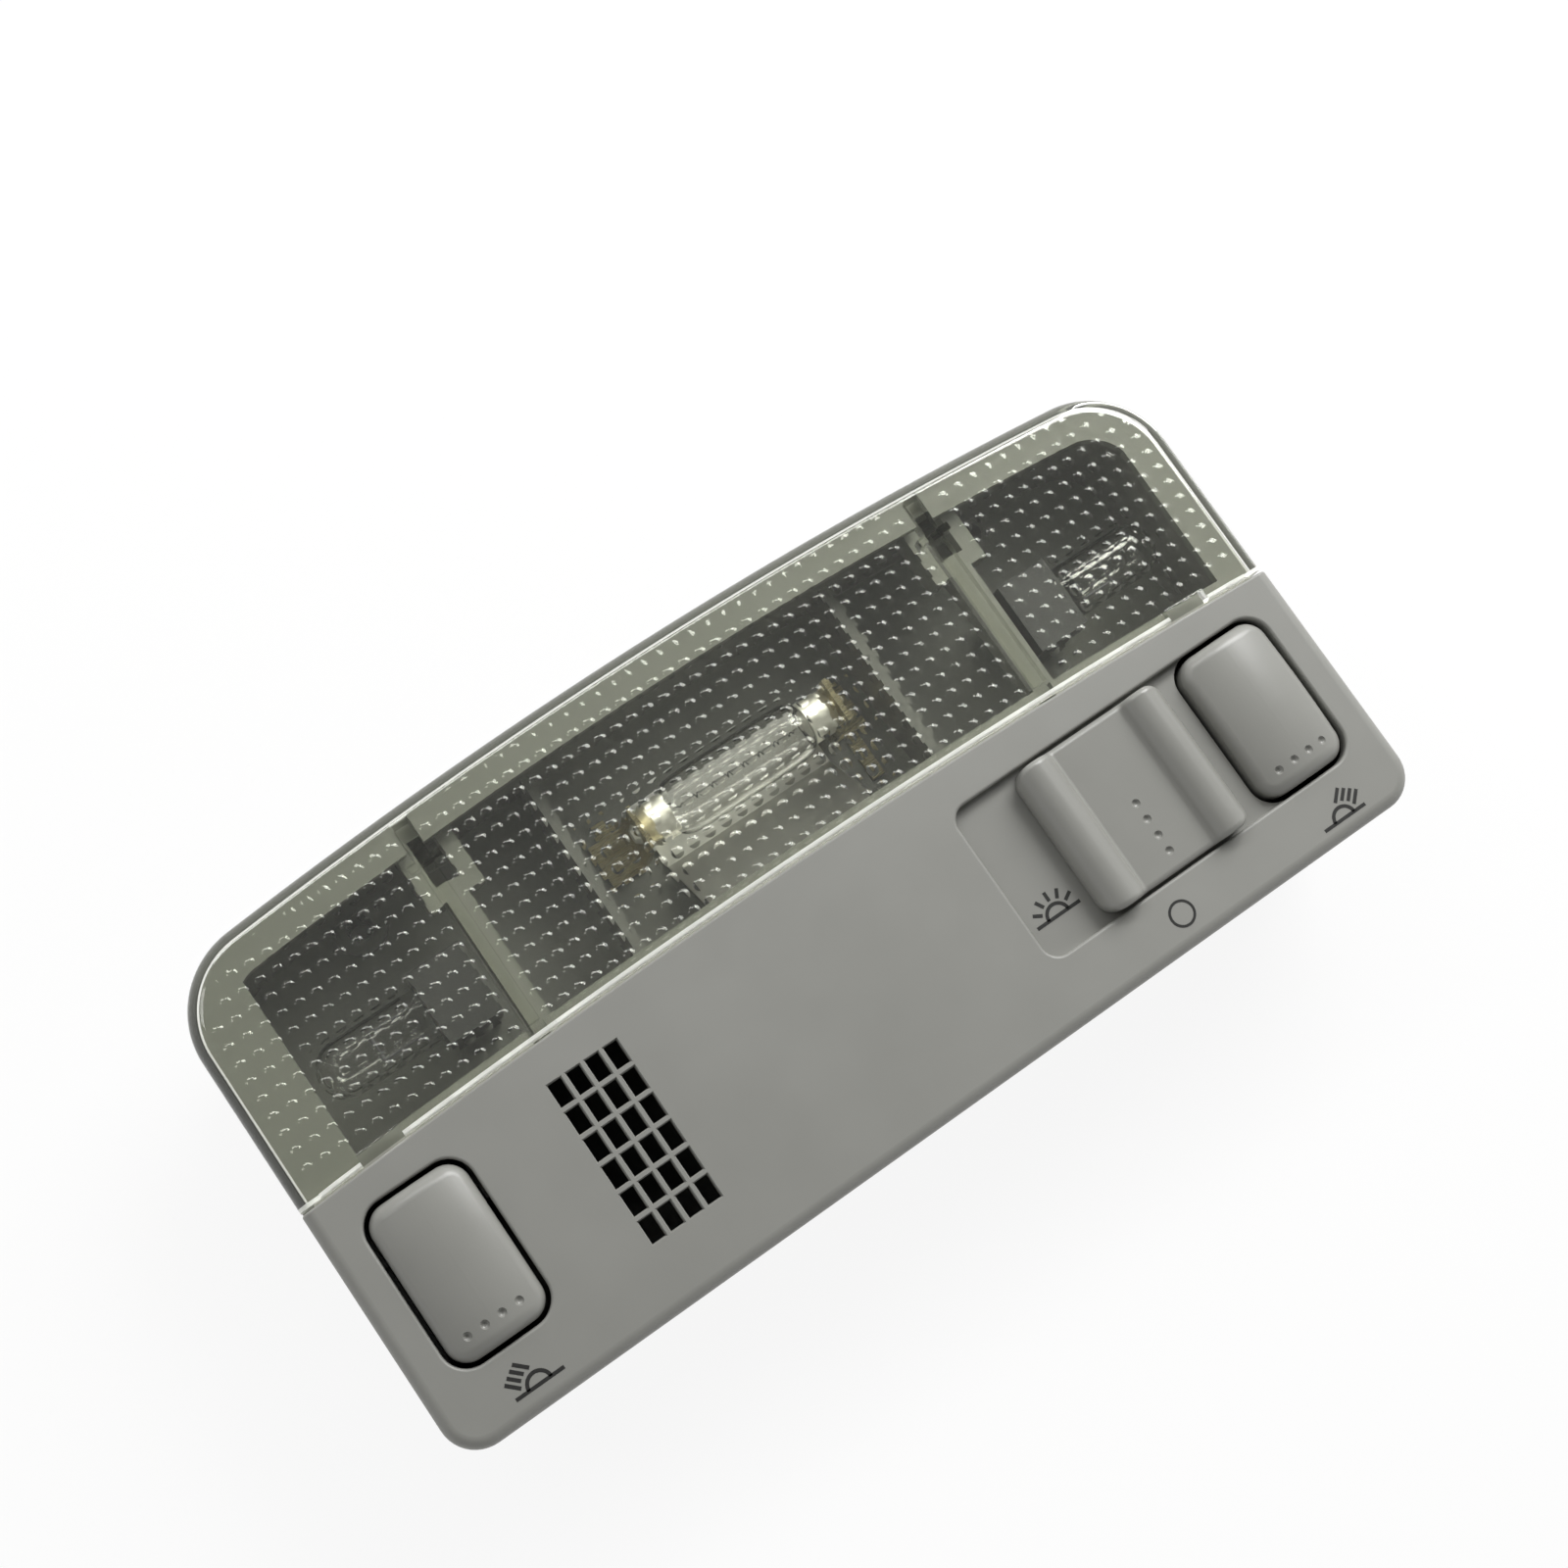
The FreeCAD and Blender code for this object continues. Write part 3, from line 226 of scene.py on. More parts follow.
# Tungsten: a dark grey drawn wire
tungsten = rolled_metal("drawn_tungsten", "#4f4f50", "#757577", 0.40, line_mm=0.08)
print("metals:", brass.name, reflector.name, cap_metal.name, zinc.name, spring_steel.name, tungsten.name)

# %% [markdown]
# ## Clear polycarbonate and glass
# Light has to reach the bulbs behind the lens. A ray tracer treats glass as something that blocks
# lamps, so for shadow rays only the shader is swapped for plain transparency. One noise gives the
# slight waves of a moulded surface, and one with more detail gives wipe marks in the shine. Haze is the
# share of light that is scattered and not let through: next to none in the lens, and most of it along
# the lens's front edge, where the pale matt strip is a painted highlight line.

# %% A recipe for clear solids
wipe_mm = 9.0
wave_strength = 0.5
least_wipe = 0.5
most_wipe = 1.5


def clear_solid(name, tint, ior, roughness, wave_mm, wave_depth_mm, haze=0.0):
    """Clear solid: all but the haze goes through, with waves as bump and wipe marks in roughness."""
    material = blank_material(name)
    tree = material.node_tree
    place = add(tree, "ShaderNodeTexCoord").outputs["Object"]
    wave = add(tree, "ShaderNodeTexNoise", {"Scale": per_metre(wave_mm), "Detail": 1.0},
               {"Vector": place}).outputs[0]
    wipe = add(tree, "ShaderNodeTexNoise", {"Scale": per_metre(wipe_mm), "Detail": 5.0},
               {"Vector": place}).outputs[0]
    shine = add(tree, "ShaderNodeMapRange",
                {"To Min": roughness * least_wipe, "To Max": roughness * most_wipe},
                {"Value": wipe}).outputs[0]
    relief = add(tree, "ShaderNodeBump", {"Strength": wave_strength, "Distance": wave_depth_mm / 1000},
                 {"Height": wave}).outputs[0]
    body = add(tree, "ShaderNodeBsdfPrincipled",
               {"Base Color": linear(tint), "IOR": ior, "Transmission Weight": 1.0 - haze},
               {"Roughness": shine, "Normal": relief}).outputs[0]
    window = add(tree, "ShaderNodeBsdfTransparent", {"Color": linear(tint)}).outputs[0]
    lamp_ray = add(tree, "ShaderNodeLightPath").outputs["Is Shadow Ray"]
    shader = add(tree, "ShaderNodeMixShader", links={0: lamp_ray, 1: body, 2: window}).outputs[0]
    add(tree, "ShaderNodeOutputMaterial", links={"Surface": shader})
    return material


lens_tint = "#f6f7f1"
lens_ior = 1.58
lens_wave_mm = 12.0
lens_wave_depth_mm = 0.005
# Polycarbonate: water clear, with bright edges from its high index
polycarbonate = clear_solid("clear_polycarbonate", lens_tint, lens_ior, 0.015,
                            lens_wave_mm, lens_wave_depth_mm, haze=0.015)
# Frosted polycarbonate, matt and cloudy: a painted highlight, so the lens's front edge shows as a pale
# line
seam_highlight_frost = clear_solid("frosted_polycarbonate_painted_highlight", lens_tint, lens_ior, 0.4,
                           lens_wave_mm, lens_wave_depth_mm, haze=0.65)
# Soda-lime bulb glass: thin, with slow waves from blowing
bulb_glass = clear_solid("blown_bulb_glass", "#fbfbfa", 1.52, 0.01, wave_mm=6.0, wave_depth_mm=0.006)
print("clear materials:", polycarbonate.name, seam_highlight_frost.name, bulb_glass.name)

# %% [markdown]
# ## Dressing the solids
# Each solid in the frame names a slot in the record. A short table says which finish a slot gets, and
# a loop puts it on every solid, so that no solid is left with a flat colour.

# %% Put a finish on every solid
finish_of_slot = {
    "panel_grey": panel_abs_frame_shade,
    "button_grey": button_abs,
    "clear_lens": polycarbonate,
    "carrier_charcoal": carrier_pp,
    "carriage_white": acetal,
    "contact_brass": brass,
    "bulb_glass": bulb_glass,
    "bulb_cap_metal": cap_metal,
    "filament_wire": tungsten,
    "reflector_sheet": reflector,
    "zinc_steel": zinc,
    "spring_steel": spring_steel,
    "switch_black": switch_nylon,
    "holder_black": holder_nylon,
}
for subpart in frame["record"]["subparts"]:
    solid = frame["nodes"][subpart["node"]]
    solid.data.materials.clear()
    solid.data.materials.append(finish_of_slot[subpart["material_slot"]])

# %% [markdown]
# ## From arrays to a piece
# A surface on a grid is an array of points and a list of quads. Several of them are stacked into one
# mesh, doubles are merged so that neighbouring surfaces close up, and faces are turned outwards. Sizes
# of pieces are in millimetres, and they become metres only here.

# %% Helpers for meshes
merge_distance = 1e-6


def grid_quads(rows, columns, wrapped=False):
    """Quads of a grid of points stored row by row; wrapped joins the last column to the first."""
    index = np.arange(rows * columns).reshape(rows, columns)
    if wrapped:
        index = np.concatenate([index, index[:, :1]], axis=1)
    corners = [index[:-1, :-1], index[:-1, 1:], index[1:, 1:], index[1:, :-1]]
    return np.stack(corners, axis=-1).reshape(-1, 4).tolist()


def stacked(surfaces):
    """One array of points and one list of faces from several surfaces, each a pair of both."""
    points = []
    faces = []
    count = 0
    for surface_points, surface_faces in surfaces:
        points.append(surface_points.reshape(-1, 3))
        faces += [[corner + count for corner in face] for face in surface_faces]
        count += len(points[-1])
    return np.concatenate(points), faces


def make_piece(name, surfaces, material, body, sharp_degrees=30):
    """Closed mesh from surfaces in millimetres, smooth but for edges sharper than the angle."""
    points, faces = stacked(surfaces)
    mesh = bpy.data.meshes.new(name)
    mesh.from_pydata((points / 1000).tolist(), [], faces)
    shell = bmesh.new()
    shell.from_mesh(mesh)
    bmesh.ops.remove_doubles(shell, verts=shell.verts, dist=merge_distance)
    bmesh.ops.recalc_face_normals(shell, faces=shell.faces)
    open_edges = sum(not edge.is_manifold for edge in shell.edges)
    shell.to_mesh(mesh)
    shell.free()
    mesh.shade_smooth()
    mesh.set_sharp_from_angle(angle=math.radians(sharp_degrees))
    mesh.materials.append(material)
    piece = bpy.data.objects.new(name, mesh)
    bpy.context.collection.objects.link(piece)
    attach(piece, body)
    triangles = sum(len(face.vertices) - 2 for face in mesh.polygons)
    print(name, "triangles:", triangles, "open edges:", open_edges)
    return piece


# %% [markdown]
# ## The lens outline
# Seen from the front, the lens has a back edge that is part of a very large circle, two rounded
# corners, straight ends, and a front edge that follows the slightly curved seam. Every curve in it is
# part of a circle, so the outline is given by formulas, which also serve the wall inside the rim.

# %% Outline formulas
lens_low, lens_high = (1000 * np.array(corner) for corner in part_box("lens"))
half_length = lens_high[0]
back_y = lens_high[1]
face_z = lens_high[2]
back_radius = 830.0
corner_radius = 15.0
wall_inset = 2.6
back_centre_y = back_y - back_radius
corner_x = half_length - corner_radius
corner_y = back_centre_y + math.sqrt((back_radius - corner_radius) ** 2 - corner_x ** 2)
corner_start = math.atan2(corner_x, corner_y - back_centre_y)


def back_edge(x, inset):
    """Y of the back edge: the large circle, or the corner's circle beyond where the two meet."""
    meet = (back_radius - inset) * math.sin(corner_start)
    large = back_centre_y + np.sqrt((back_radius - inset) ** 2 - x ** 2)
    beyond = (corner_radius - inset) ** 2 - (np.abs(x) - corner_x) ** 2
    return np.where(np.abs(x) <= meet, large, corner_y + np.sqrt(np.maximum(beyond, 0)))


def front_edge(x, shift=0.0):
    """Y of the front edge: the seam's circle, grown by a shift towards the lens."""
    return seam_middle_y - seam_radius + np.sqrt((seam_radius + shift) ** 2 - x ** 2)


def back_normal(x, y):
    """Outward direction on the back edge: away from the centre of the circle that the point is on."""
    on_corner = np.abs(x) > (back_radius - wall_inset) * math.sin(corner_start)
    centre_x = np.where(on_corner, np.sign(x) * corner_x, 0.0)
    centre_y = np.where(on_corner, corner_y, back_centre_y)
    away = np.stack([x - centre_x, y - centre_y], axis=-1)
    return away / np.linalg.norm(away, axis=-1, keepdims=True)


print("lens half length, back edge, face:", half_length, back_y, face_z)

# %% [markdown]
# ## The dimpled inner face
# The lens spreads light with a nearly square grid of shallow round dimples on its inner face, and two
# ribs with latch tabs reach down from it. Hundreds of balls could be cut out of a plate, but that is
# slow and leaves ragged faces, so the face is a height field: columns and rows of points are set close
# only across a dimple or at a step, and clipped to the outline. Within a dimple the square patch of
# points is pulled into a disc, which keeps its rim round with a few dozen faces, and the depth falls
# with the square of the distance from the middle. A dimple that the rim cuts off keeps the grid's own
# points, and its depth fades out towards the edge.

# %% Sizes of the inner face
plate_thickness = 2.6
plate_z = face_z - plate_thickness
inner_half = half_length - wall_inset
pitch = np.array([3.05, 3.1])
pattern_start = np.array([0.0, 4.1])
dimple_radius = 1.05
dimple_depth = 0.155
rib_x = np.array([-48.7, 49.7])
leg_x = np.array([-47.2, 51.2])
rib_half = 1.3
rib_drop = 3.2
rib_start_y = 3.77
latch_from_back = 11.2
latch_y = back_y - latch_from_back
latch_half = np.array([2.9, 0.65])
leg_half = 1.5
notch_x = np.array([-77.75, 77.75])
notch_half = 3.8
notch_depth = 2.0
print("plate from", plate_z, "to", face_z, "with dimples every", pitch)

# %% Points of the inner face
points_across = 7
corner_points = 26
cells_each_side = 28
first_row = -1
last_row = 12
# The first and the last of these lie outside the lens, so that clipping puts points on both edges
edge_rows = [-5.0, 0.5, 60.0]
step = np.array([-0.01, 0.01])
sides = np.array([-1, 1])

across = np.linspace(-dimple_radius, dimple_radius, points_across)
breaks_x = [(rib_x[:, None] + sides * rib_half), (rib_x[:, None] + sides * latch_half[0]),
            (leg_x[:, None] + sides * leg_half), (notch_x[:, None] + sides * notch_half)]
breaks_y = np.array([rib_start_y, latch_y - latch_half[1], latch_y + latch_half[1]])
corner_angles = np.linspace(corner_start, math.pi / 2, corner_points)
corner_columns = corner_x + (corner_radius - wall_inset) * np.sin(corner_angles)
cells_x = np.arange(-cells_each_side, cells_each_side + 1)
dimple_columns = (cells_x[:, None] * pitch[0] + pattern_start[0] + across).ravel()
step_columns = (np.concatenate(breaks_x).ravel()[:, None] + step).ravel()
columns = np.concatenate([dimple_columns, step_columns, corner_columns, -corner_columns])
columns = np.unique(np.round(columns, 3))
cells_y = np.arange(first_row, last_row + 1)
dimple_rows = (cells_y[:, None] * pitch[1] + pattern_start[1] + across).ravel()
rows = np.concatenate([dimple_rows, (breaks_y[:, None] + step).ravel(), edge_rows])
rows = np.unique(np.round(rows, 3))


def near(values, centres, reach):
    """True where a value is within reach of one of the centres."""
    return np.any(np.abs(values[..., None] - centres) < reach, axis=-1)


def lens_front(x):
    """Front edge of the lens, set back by the notch depth at the two release notches."""
    return np.where(near(x, notch_x, notch_half), front_edge(x, notch_depth), front_edge(x))


x = np.broadcast_to(columns, (len(rows), len(columns)))
front = lens_front(columns)
back = back_edge(columns, wall_inset)
y = np.clip(rows[:, None], front, back)
print("inner face grid:", y.shape)

# %% Dimples that there is room for
dimple_gap = 0.15
front_margin = 2.0
keep_off = dimple_radius + dimple_gap

cell = np.round((np.stack([x, y], axis=-1) - pattern_start) / pitch)
centre = cell * pitch + pattern_start
centre_back = back_edge(np.clip(centre[..., 0], -half_length, half_length), wall_inset)
open_cell = centre[..., 1] > front_edge(centre[..., 0]) + front_margin
open_cell &= ~near(centre[..., 0], rib_x, rib_half + keep_off)
open_cell &= ~(near(centre[..., 0], rib_x, latch_half[0] + keep_off)
               & near(centre[..., 1], np.array([latch_y]), latch_half[1] + keep_off))
open_cell &= ~(near(centre[..., 0], notch_x, notch_half + keep_off)
               & (centre[..., 1] < front_edge(centre[..., 0]) + notch_depth + keep_off))
inside_by = np.minimum(centre_back - centre[..., 1], inner_half - np.abs(centre[..., 0]))
past_corner = np.stack([np.abs(centre[..., 0]) - corner_x, centre[..., 1] - corner_y])
from_arc = corner_radius - wall_inset - np.hypot(*past_corner)
inside_by = np.where(np.all(past_corner > 0, axis=0), from_arc, inside_by)
whole_cell = open_cell & (inside_by > keep_off)
cut_cell = open_cell & (inside_by > 0) & ~whole_cell
print("whole dimples:", len(np.unique(cell[whole_cell], axis=0)))

# %% Heights of the inner face
# A little over 1, so that the points on a patch's border count as in it
just_over = 1.001
fade_width = 0.4
rib_gap = 0.3

u = (x - centre[..., 0]) / dimple_radius
v = (y - centre[..., 1]) / dimple_radius
in_square = np.maximum(np.abs(u), np.abs(v)) < just_over
in_dimple = whole_cell & in_square
disc_u = u * np.sqrt(np.maximum(1 - v ** 2 / 2, 0))
disc_v = v * np.sqrt(np.maximum(1 - u ** 2 / 2, 0))
face_x = np.where(in_dimple, centre[..., 0] + dimple_radius * disc_u, x)
face_y = np.where(in_dimple, centre[..., 1] + dimple_radius * disc_v, y)
reach = np.hypot(face_x - centre[..., 0], face_y - centre[..., 1]) / dimple_radius
bowl = 1 - np.minimum(reach, 1) ** 2
edge_fade = np.clip(np.minimum(back - y, inner_half - np.abs(x)) / fade_width, 0, 1)
bowl = np.where(in_dimple, bowl, np.where(cut_cell, bowl * edge_fade, 0.0))
height = plate_z + dimple_depth * bowl

on_rib = near(x, rib_x, rib_half) & (y > rib_start_y) & (y < back - rib_gap)
on_bar = near(x, rib_x, latch_half[0]) & (np.abs(y - latch_y) < latch_half[1])
on_leg = near(x, leg_x, leg_half) & (np.abs(y - latch_y) < latch_half[1])
height = np.where(on_rib | on_bar, plate_z - rib_drop, height)
height = np.where(on_leg, lens_low[2], height)
inner_face = (np.stack([face_x, face_y, height], axis=-1), grid_quads(*x.shape))
print("dimples:", len(np.unique(cell[bowl > 0], axis=0)))

# %% [markdown]
# ## The rim, the seam edge and the outer face
# The lens is rounded at its ends and back, where a thin skirt goes down round the housing's frame. A
# bevelled plate would have the round but no skirt, so the rim is one profile, a quarter round that runs
# down into the skirt and up again inside, carried round the ends and the back edge along the outward
# normals. The seam edge is a strip with a small round, and the outer face is flat. Together with the
# inner face they close the lens.

# %% Rim
edge_round = 3.4
skirt_drop = 7.0
skirt_z = face_z - skirt_drop
skirt_wall = 2.0
foot_round = 0.3
inner_round = wall_inset - skirt_wall
flat_border = 0.5
edge_points = 19
foot_points = 4

turn = np.linspace(0, math.pi / 2, edge_points)
foot_turn = np.linspace(0, math.pi / 2, foot_points)
inset = np.concatenate([
    [edge_round + flat_border],
    edge_round - edge_round * np.sin(turn),
    foot_round - foot_round * np.cos(foot_turn),
    skirt_wall - foot_round + foot_round * np.sin(foot_turn),
    wall_inset - inner_round * np.cos(foot_turn)])
drop_z = np.concatenate([
    [face_z],
    face_z - edge_round + edge_round * np.cos(turn),
    skirt_z + foot_round - foot_round * np.sin(foot_turn),
    skirt_z + foot_round - foot_round * np.cos(foot_turn),
    plate_z - inner_round + inner_round * np.sin(foot_turn)])

end_normal = np.broadcast_to([1.0, 0.0], (len(rows), 2))
path = np.concatenate([
    np.stack([x[:, 0], y[:, 0]], axis=-1), np.stack([columns, back], axis=-1),
    np.stack([x[::-1, -1], y[::-1, -1]], axis=-1)])
normal = np.concatenate([-end_normal, back_normal(columns, back), end_normal])
rim_xy = path + normal * (wall_inset - inset)[:, None, None]
rim_z = np.broadcast_to(drop_z[:, None, None], (len(inset), len(path), 1))
rim_points = np.concatenate([rim_xy, rim_z], axis=-1)
rim = (rim_points, grid_quads(len(inset), len(path)))
end_caps = (np.stack([rim_points[:, 0], rim_points[:, -1]]),
            [list(range(len(inset))), list(range(len(inset), 2 * len(inset)))])
print("rim profile points:", len(inset), "carried along:", len(path))

# %% Seam edge
seam_round = 0.4
outer_half = half_length - edge_round - flat_border
# Up to here the outer face has the inner face's columns, and beyond it they are drawn in
steady_half = 86.0
seam_points_round = 17
last_column_gap = 1e-3
outer_x = np.interp(columns, [-inner_half, -steady_half, steady_half, inner_half],
                    [-outer_half, -steady_half, steady_half, outer_half])
round_here = np.where(np.abs(columns) < inner_half - last_column_gap, seam_round, 0.0)
seam_turn = np.linspace(0, math.pi / 2, seam_points_round)[:, None]
seam_y = np.concatenate([
    front[None] + 2 * round_here, front + round_here * (1 - np.sin(seam_turn)), front[None]])
seam_z = np.concatenate([
    np.full((1, len(columns)), face_z), face_z - round_here * (1 - np.cos(seam_turn)),
    np.full((1, len(columns)), plate_z)])
seam_x = np.concatenate([np.broadcast_to(outer_x, (len(seam_z) - 1, len(columns))), columns[None]])
seam_points = np.stack([seam_x, seam_y, seam_z], axis=-1)
seam_edge = (seam_points, grid_quads(*seam_x.shape))
print("seam edge grid:", seam_x.shape)

# %% Outer face
same_place = 1e-4
count = len(columns)
back_points = rim_points[0, len(rows):len(rows) + count]
left_points = rim_points[0, :len(rows)]
right_points = rim_points[0, len(rows) + count:]
middle = (np.stack([seam_points[0, 1:-1], back_points[1:-1]]), grid_quads(2, count - 2))


def end_face(side_points, seam_point, back_point):
    """The outer face beside one end: the end's own points, then a point each of back and seam."""
    apart = np.linalg.norm(np.diff(side_points, axis=0), axis=1)
    distinct = np.concatenate([[True], apart > same_place])
    ring = np.concatenate([side_points[distinct], back_point[None], seam_point[None]])
    return ring, [list(range(len(ring)))]


left_end = end_face(left_points, seam_points[0, 1], back_points[1])
right_end = end_face(right_points[::-1], seam_points[0, -2], back_points[-2])
print("outer face points at the ends:", len(left_end[0]), len(right_end[0]))

# %% [markdown]
# ## Latch hooks and the painted highlight on the front edge
# Each latch tab ends in a small hook, a plain box set into the tab. With the hooks the lens is one
# mesh, and it takes the place of the plain solid. Its front edge gets a painted highlight: the faces
# that lie close to the seam get the pale frosted finish, so that a bright line shows against the panel.
# A second material on the mesh does that with no new shape, and a face's distance behind the seam
# decides which of the two it has.

# %% Hooks and the whole lens
hook_reach = 1.2
hook_overlap = 0.1
hook_setback = 0.02


def box_surface(low, high):
    """A box between two corners: eight points and six quads."""
    corners = np.array([[a, b, c] for a in (0, 1) for b in (0, 1) for c in (0, 1)])
    quads = [[0, 1, 3, 2], [4, 6, 7, 5], [0, 4, 5, 1], [2, 3, 7, 6], [0, 2, 6, 4], [1, 5, 7, 3]]
    return np.where(corners == 1, high, low), quads


hooks = []
for leg, side in zip(leg_x, sides):
    hook_ends = np.sort([leg + side * (leg_half - hook_overlap), leg + side * (leg_half + hook_reach)])
    low = [hook_ends[0], latch_y - latch_half[1] + hook_setback, lens_low[2]]
    high = [hook_ends[1], latch_y + latch_half[1] - hook_setback, lens_low[2] + hook_reach]
    hooks.append(box_surface(np.array(low), np.array(high)))

shell_surfaces = [inner_face, rim, end_caps, seam_edge, middle, left_end, right_end]
lens = make_piece("dimpled_lens", shell_surfaces + hooks, polycarbonate, "base",
                  sharp_degrees=6)
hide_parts("lens")

# %% Frosted edge: a painted highlight line along the seam
highlight_reach = 0.6
lens.data.materials.append(seam_highlight_frost)
centres = np.empty(3 * len(lens.data.polygons))
lens.data.polygons.foreach_get("center", centres)
centres = 1000 * centres.reshape(-1, 3)
# Painted highlight: the faces within reach of the seam take the pale frosted finish
painted_highlight_faces = centres[:, 1] - front_edge(centres[:, 0]) < highlight_reach
lens.data.polygons.foreach_set("material_index", painted_highlight_faces.astype(np.int32))
print("frosted faces along the seam:", int(painted_highlight_faces.sum()))

# %% [markdown]
# ## The dome bulb's glass and coil
# A festoon bulb is a glass tube whose ends are drawn in under metal caps, with a coiled wire along its
# axis. A cylinder with cones at its ends would show a hard ring where they meet, so the tube is a
# radius that falls off with a high power of the distance from the middle, turned about the axis,
# outside and inside. The coil is a helix that shrinks onto the axis at both ends. Its wire is much
# thicker than a real one, which would be too fine to show.

# %% Glass tube
glass_low, glass_high = (1000 * np.array(corner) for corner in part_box("dome_bulb_glass"))
axis = (glass_low + glass_high) / 2
tube_half = (glass_high[0] - glass_low[0]) / 2
tube_radius = (glass_high[2] - glass_low[2]) / 2
neck_radius = 3.2
glass_wall = 0.6
bulge_power = 8
points_round = 48
points_along = 41


def turned_tube(along, radius):
    """Points of a tube about the X axis: each place along it gets a circle of its own radius."""
    angle = np.linspace(0, 2 * math.pi, points_round, endpoint=False)
    ring_y = axis[1] + radius[:, None] * np.cos(angle)
    ring_z = axis[2] + radius[:, None] * np.sin(angle)
    ring_x = np.broadcast_to((axis[0] + along)[:, None], ring_y.shape)
    return np.stack([ring_x, ring_y, ring_z], axis=-1), grid_quads(len(along), len(angle), wrapped=True)


share = np.sin(np.linspace(-math.pi / 2, math.pi / 2, points_along))
bulge = np.sqrt(1 - share ** bulge_power)
outside = turned_tube(tube_half * share, neck_radius + (tube_radius - neck_radius) * bulge)
inner_radius = neck_radius - glass_wall + (tube_radius - neck_radius) * bulge
inside = turned_tube(tube_half * share, inner_radius)
neck_radii = np.array([neck_radius, neck_radius - glass_wall])
ends = [turned_tube(np.full(2, end * tube_half), neck_radii) for end in sides]
glass = make_piece("festoon_glass", [outside, inside] + ends, bulb_glass, "base",
                   sharp_degrees=50)
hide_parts("dome_bulb_glass")

# %% Coiled filament
coil_radius = 0.4
coil_wire = 0.1
coil_turns = 34
coil_gap = 0.5
lead_parts = 6
points_per_turn = 12
wire_points = 8


def coiled_wire(half, radius, wire, turns):
    """Tube round a helix along X whose radius grows from 0 to full over the first and last sixth."""
    t = np.linspace(0, 1, turns * points_per_turn)
    grow = np.clip(np.minimum(t, 1 - t) * lead_parts, 0, 1)
    grow = grow ** 2 * (3 - 2 * grow)
    angle = 2 * math.pi * turns * t
    centre_line = np.stack([axis[0] + half * (2 * t - 1), axis[1] + radius * grow * np.cos(angle),
                            axis[2] + radius * grow * np.sin(angle)], axis=-1)
    tangent = np.gradient(centre_line, axis=0)
    tangent /= np.linalg.norm(tangent, axis=1, keepdims=True)
    outward = np.stack([np.zeros_like(t), np.cos(angle), np.sin(angle)], axis=-1)
    sideways = np.cross(tangent, outward)
    sideways /= np.linalg.norm(sideways, axis=1, keepdims=True)
    outward = np.cross(sideways, tangent)
    around = np.linspace(0, 2 * math.pi, wire_points, endpoint=False)[None, :, None]
    ring = np.cos(around) * outward[:, None] + np.sin(around) * sideways[:, None]
    points = centre_line[:, None] + wire * ring
    quads = grid_quads(len(t), wire_points, wrapped=True)
    last = len(t) * wire_points
    return points, quads + [list(range(wire_points)), list(range(last - wire_points, last))]


wire_surface = coiled_wire(tube_half - coil_gap, coil_radius, coil_wire, coil_turns)
coil = make_piece("coiled_filament", [wire_surface], tungsten, "base", sharp_degrees=60)
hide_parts("dome_bulb_filament")

# %% [markdown]
# ## Printed symbols
# The panel is pad printed with generic lamp symbols: a lamp with slanted rays beside each button, a
# lamp with spreading rays beside the sliding switch, and a ring. A picture of them would blur close up.
# Ink is a thin layer, so each stroke is a flat strip along a line, 0.03 mm thick, that stands on the
# panel and has a sharp edge at any size.

# %% Ink and strokes
speck_mm = 0.5
ink_thickness = 0.03
stroke_width = 0.6


def pad_print_ink():
    """Ink: a noise mixes two near blacks, so that it looks matt and a little patchy."""
    material = blank_material("pad_print_ink")
    tree = material.node_tree
    place = add(tree, "ShaderNodeTexCoord").outputs["Object"]
    specks = add(tree, "ShaderNodeTexNoise", {"Scale": per_metre(speck_mm), "Detail": 3.0},
                 {"Vector": place}).outputs[0]
    colour = add(tree, "ShaderNodeMix", {"data_type": "RGBA", 6: linear("#141413"), 7: linear("#2a2a28")},
                 {0: specks}).outputs[2]
    shader = add(tree, "ShaderNodeBsdfPrincipled", {"Roughness": 0.6, "IOR": 1.5},
                 {"Base Color": colour}).outputs[0]
    add(tree, "ShaderNodeOutputMaterial", links={"Surface": shader})
    return material


# Pad-print ink: near black and matt
ink = pad_print_ink()


def stroke(line, width, low_z, closed=False):
    """A strip along a line of XY points: each point moves half the width to both sides, low and high."""
    if closed:
        ahead = np.roll(line, -1, axis=0) - np.roll(line, 1, axis=0)
    else:
        ahead = np.gradient(line, axis=0)
    ahead = ahead / np.linalg.norm(ahead, axis=1, keepdims=True)
    aside = np.stack([-ahead[:, 1], ahead[:, 0]], axis=-1) * width / 2
    flat = np.stack([line + aside, line - aside, line - aside, line + aside], axis=1)
    levels = np.array([low_z + ink_thickness, low_z + ink_thickness, low_z, low_z])
    levels = np.broadcast_to(levels, (len(line), 4))[..., None]
    points = np.concatenate([flat, levels], axis=-1)
    if closed:
        points = np.concatenate([points, points[:1]])
        return points, grid_quads(len(points), 4, wrapped=True)
    last = len(line) * 4
    end_quads = [[0, 1, 2, 3], [last - 4, last - 3, last - 2, last - 1]]
    return points, grid_quads(len(line), 4, wrapped=True) + end_quads


def straight(start, end):
    """A line of three points between two places."""
    return np.linspace(np.array(start, float), np.array(end, float), 3)


print("ink strokes are", stroke_width, "mm wide")

# %% Shapes of the symbols
dome_radius = 1.93
dome_points = 25
base_half = 4.25
slant_starts = np.array([[0.08, 2.83], [1.24, 2.53], [2.10, 1.90], [2.67, 0.99]])
slant_lengths = np.array([2.6, 2.2, 2.2, 2.55])
slant = np.array([0.71, 0.70])
spread_degrees = np.array([30, 60, 90, 120, 150])
spread_start = 2.65
spread_end = 4.3
ring_radius = 2.07
ring_width = 0.45
ring_points = 64


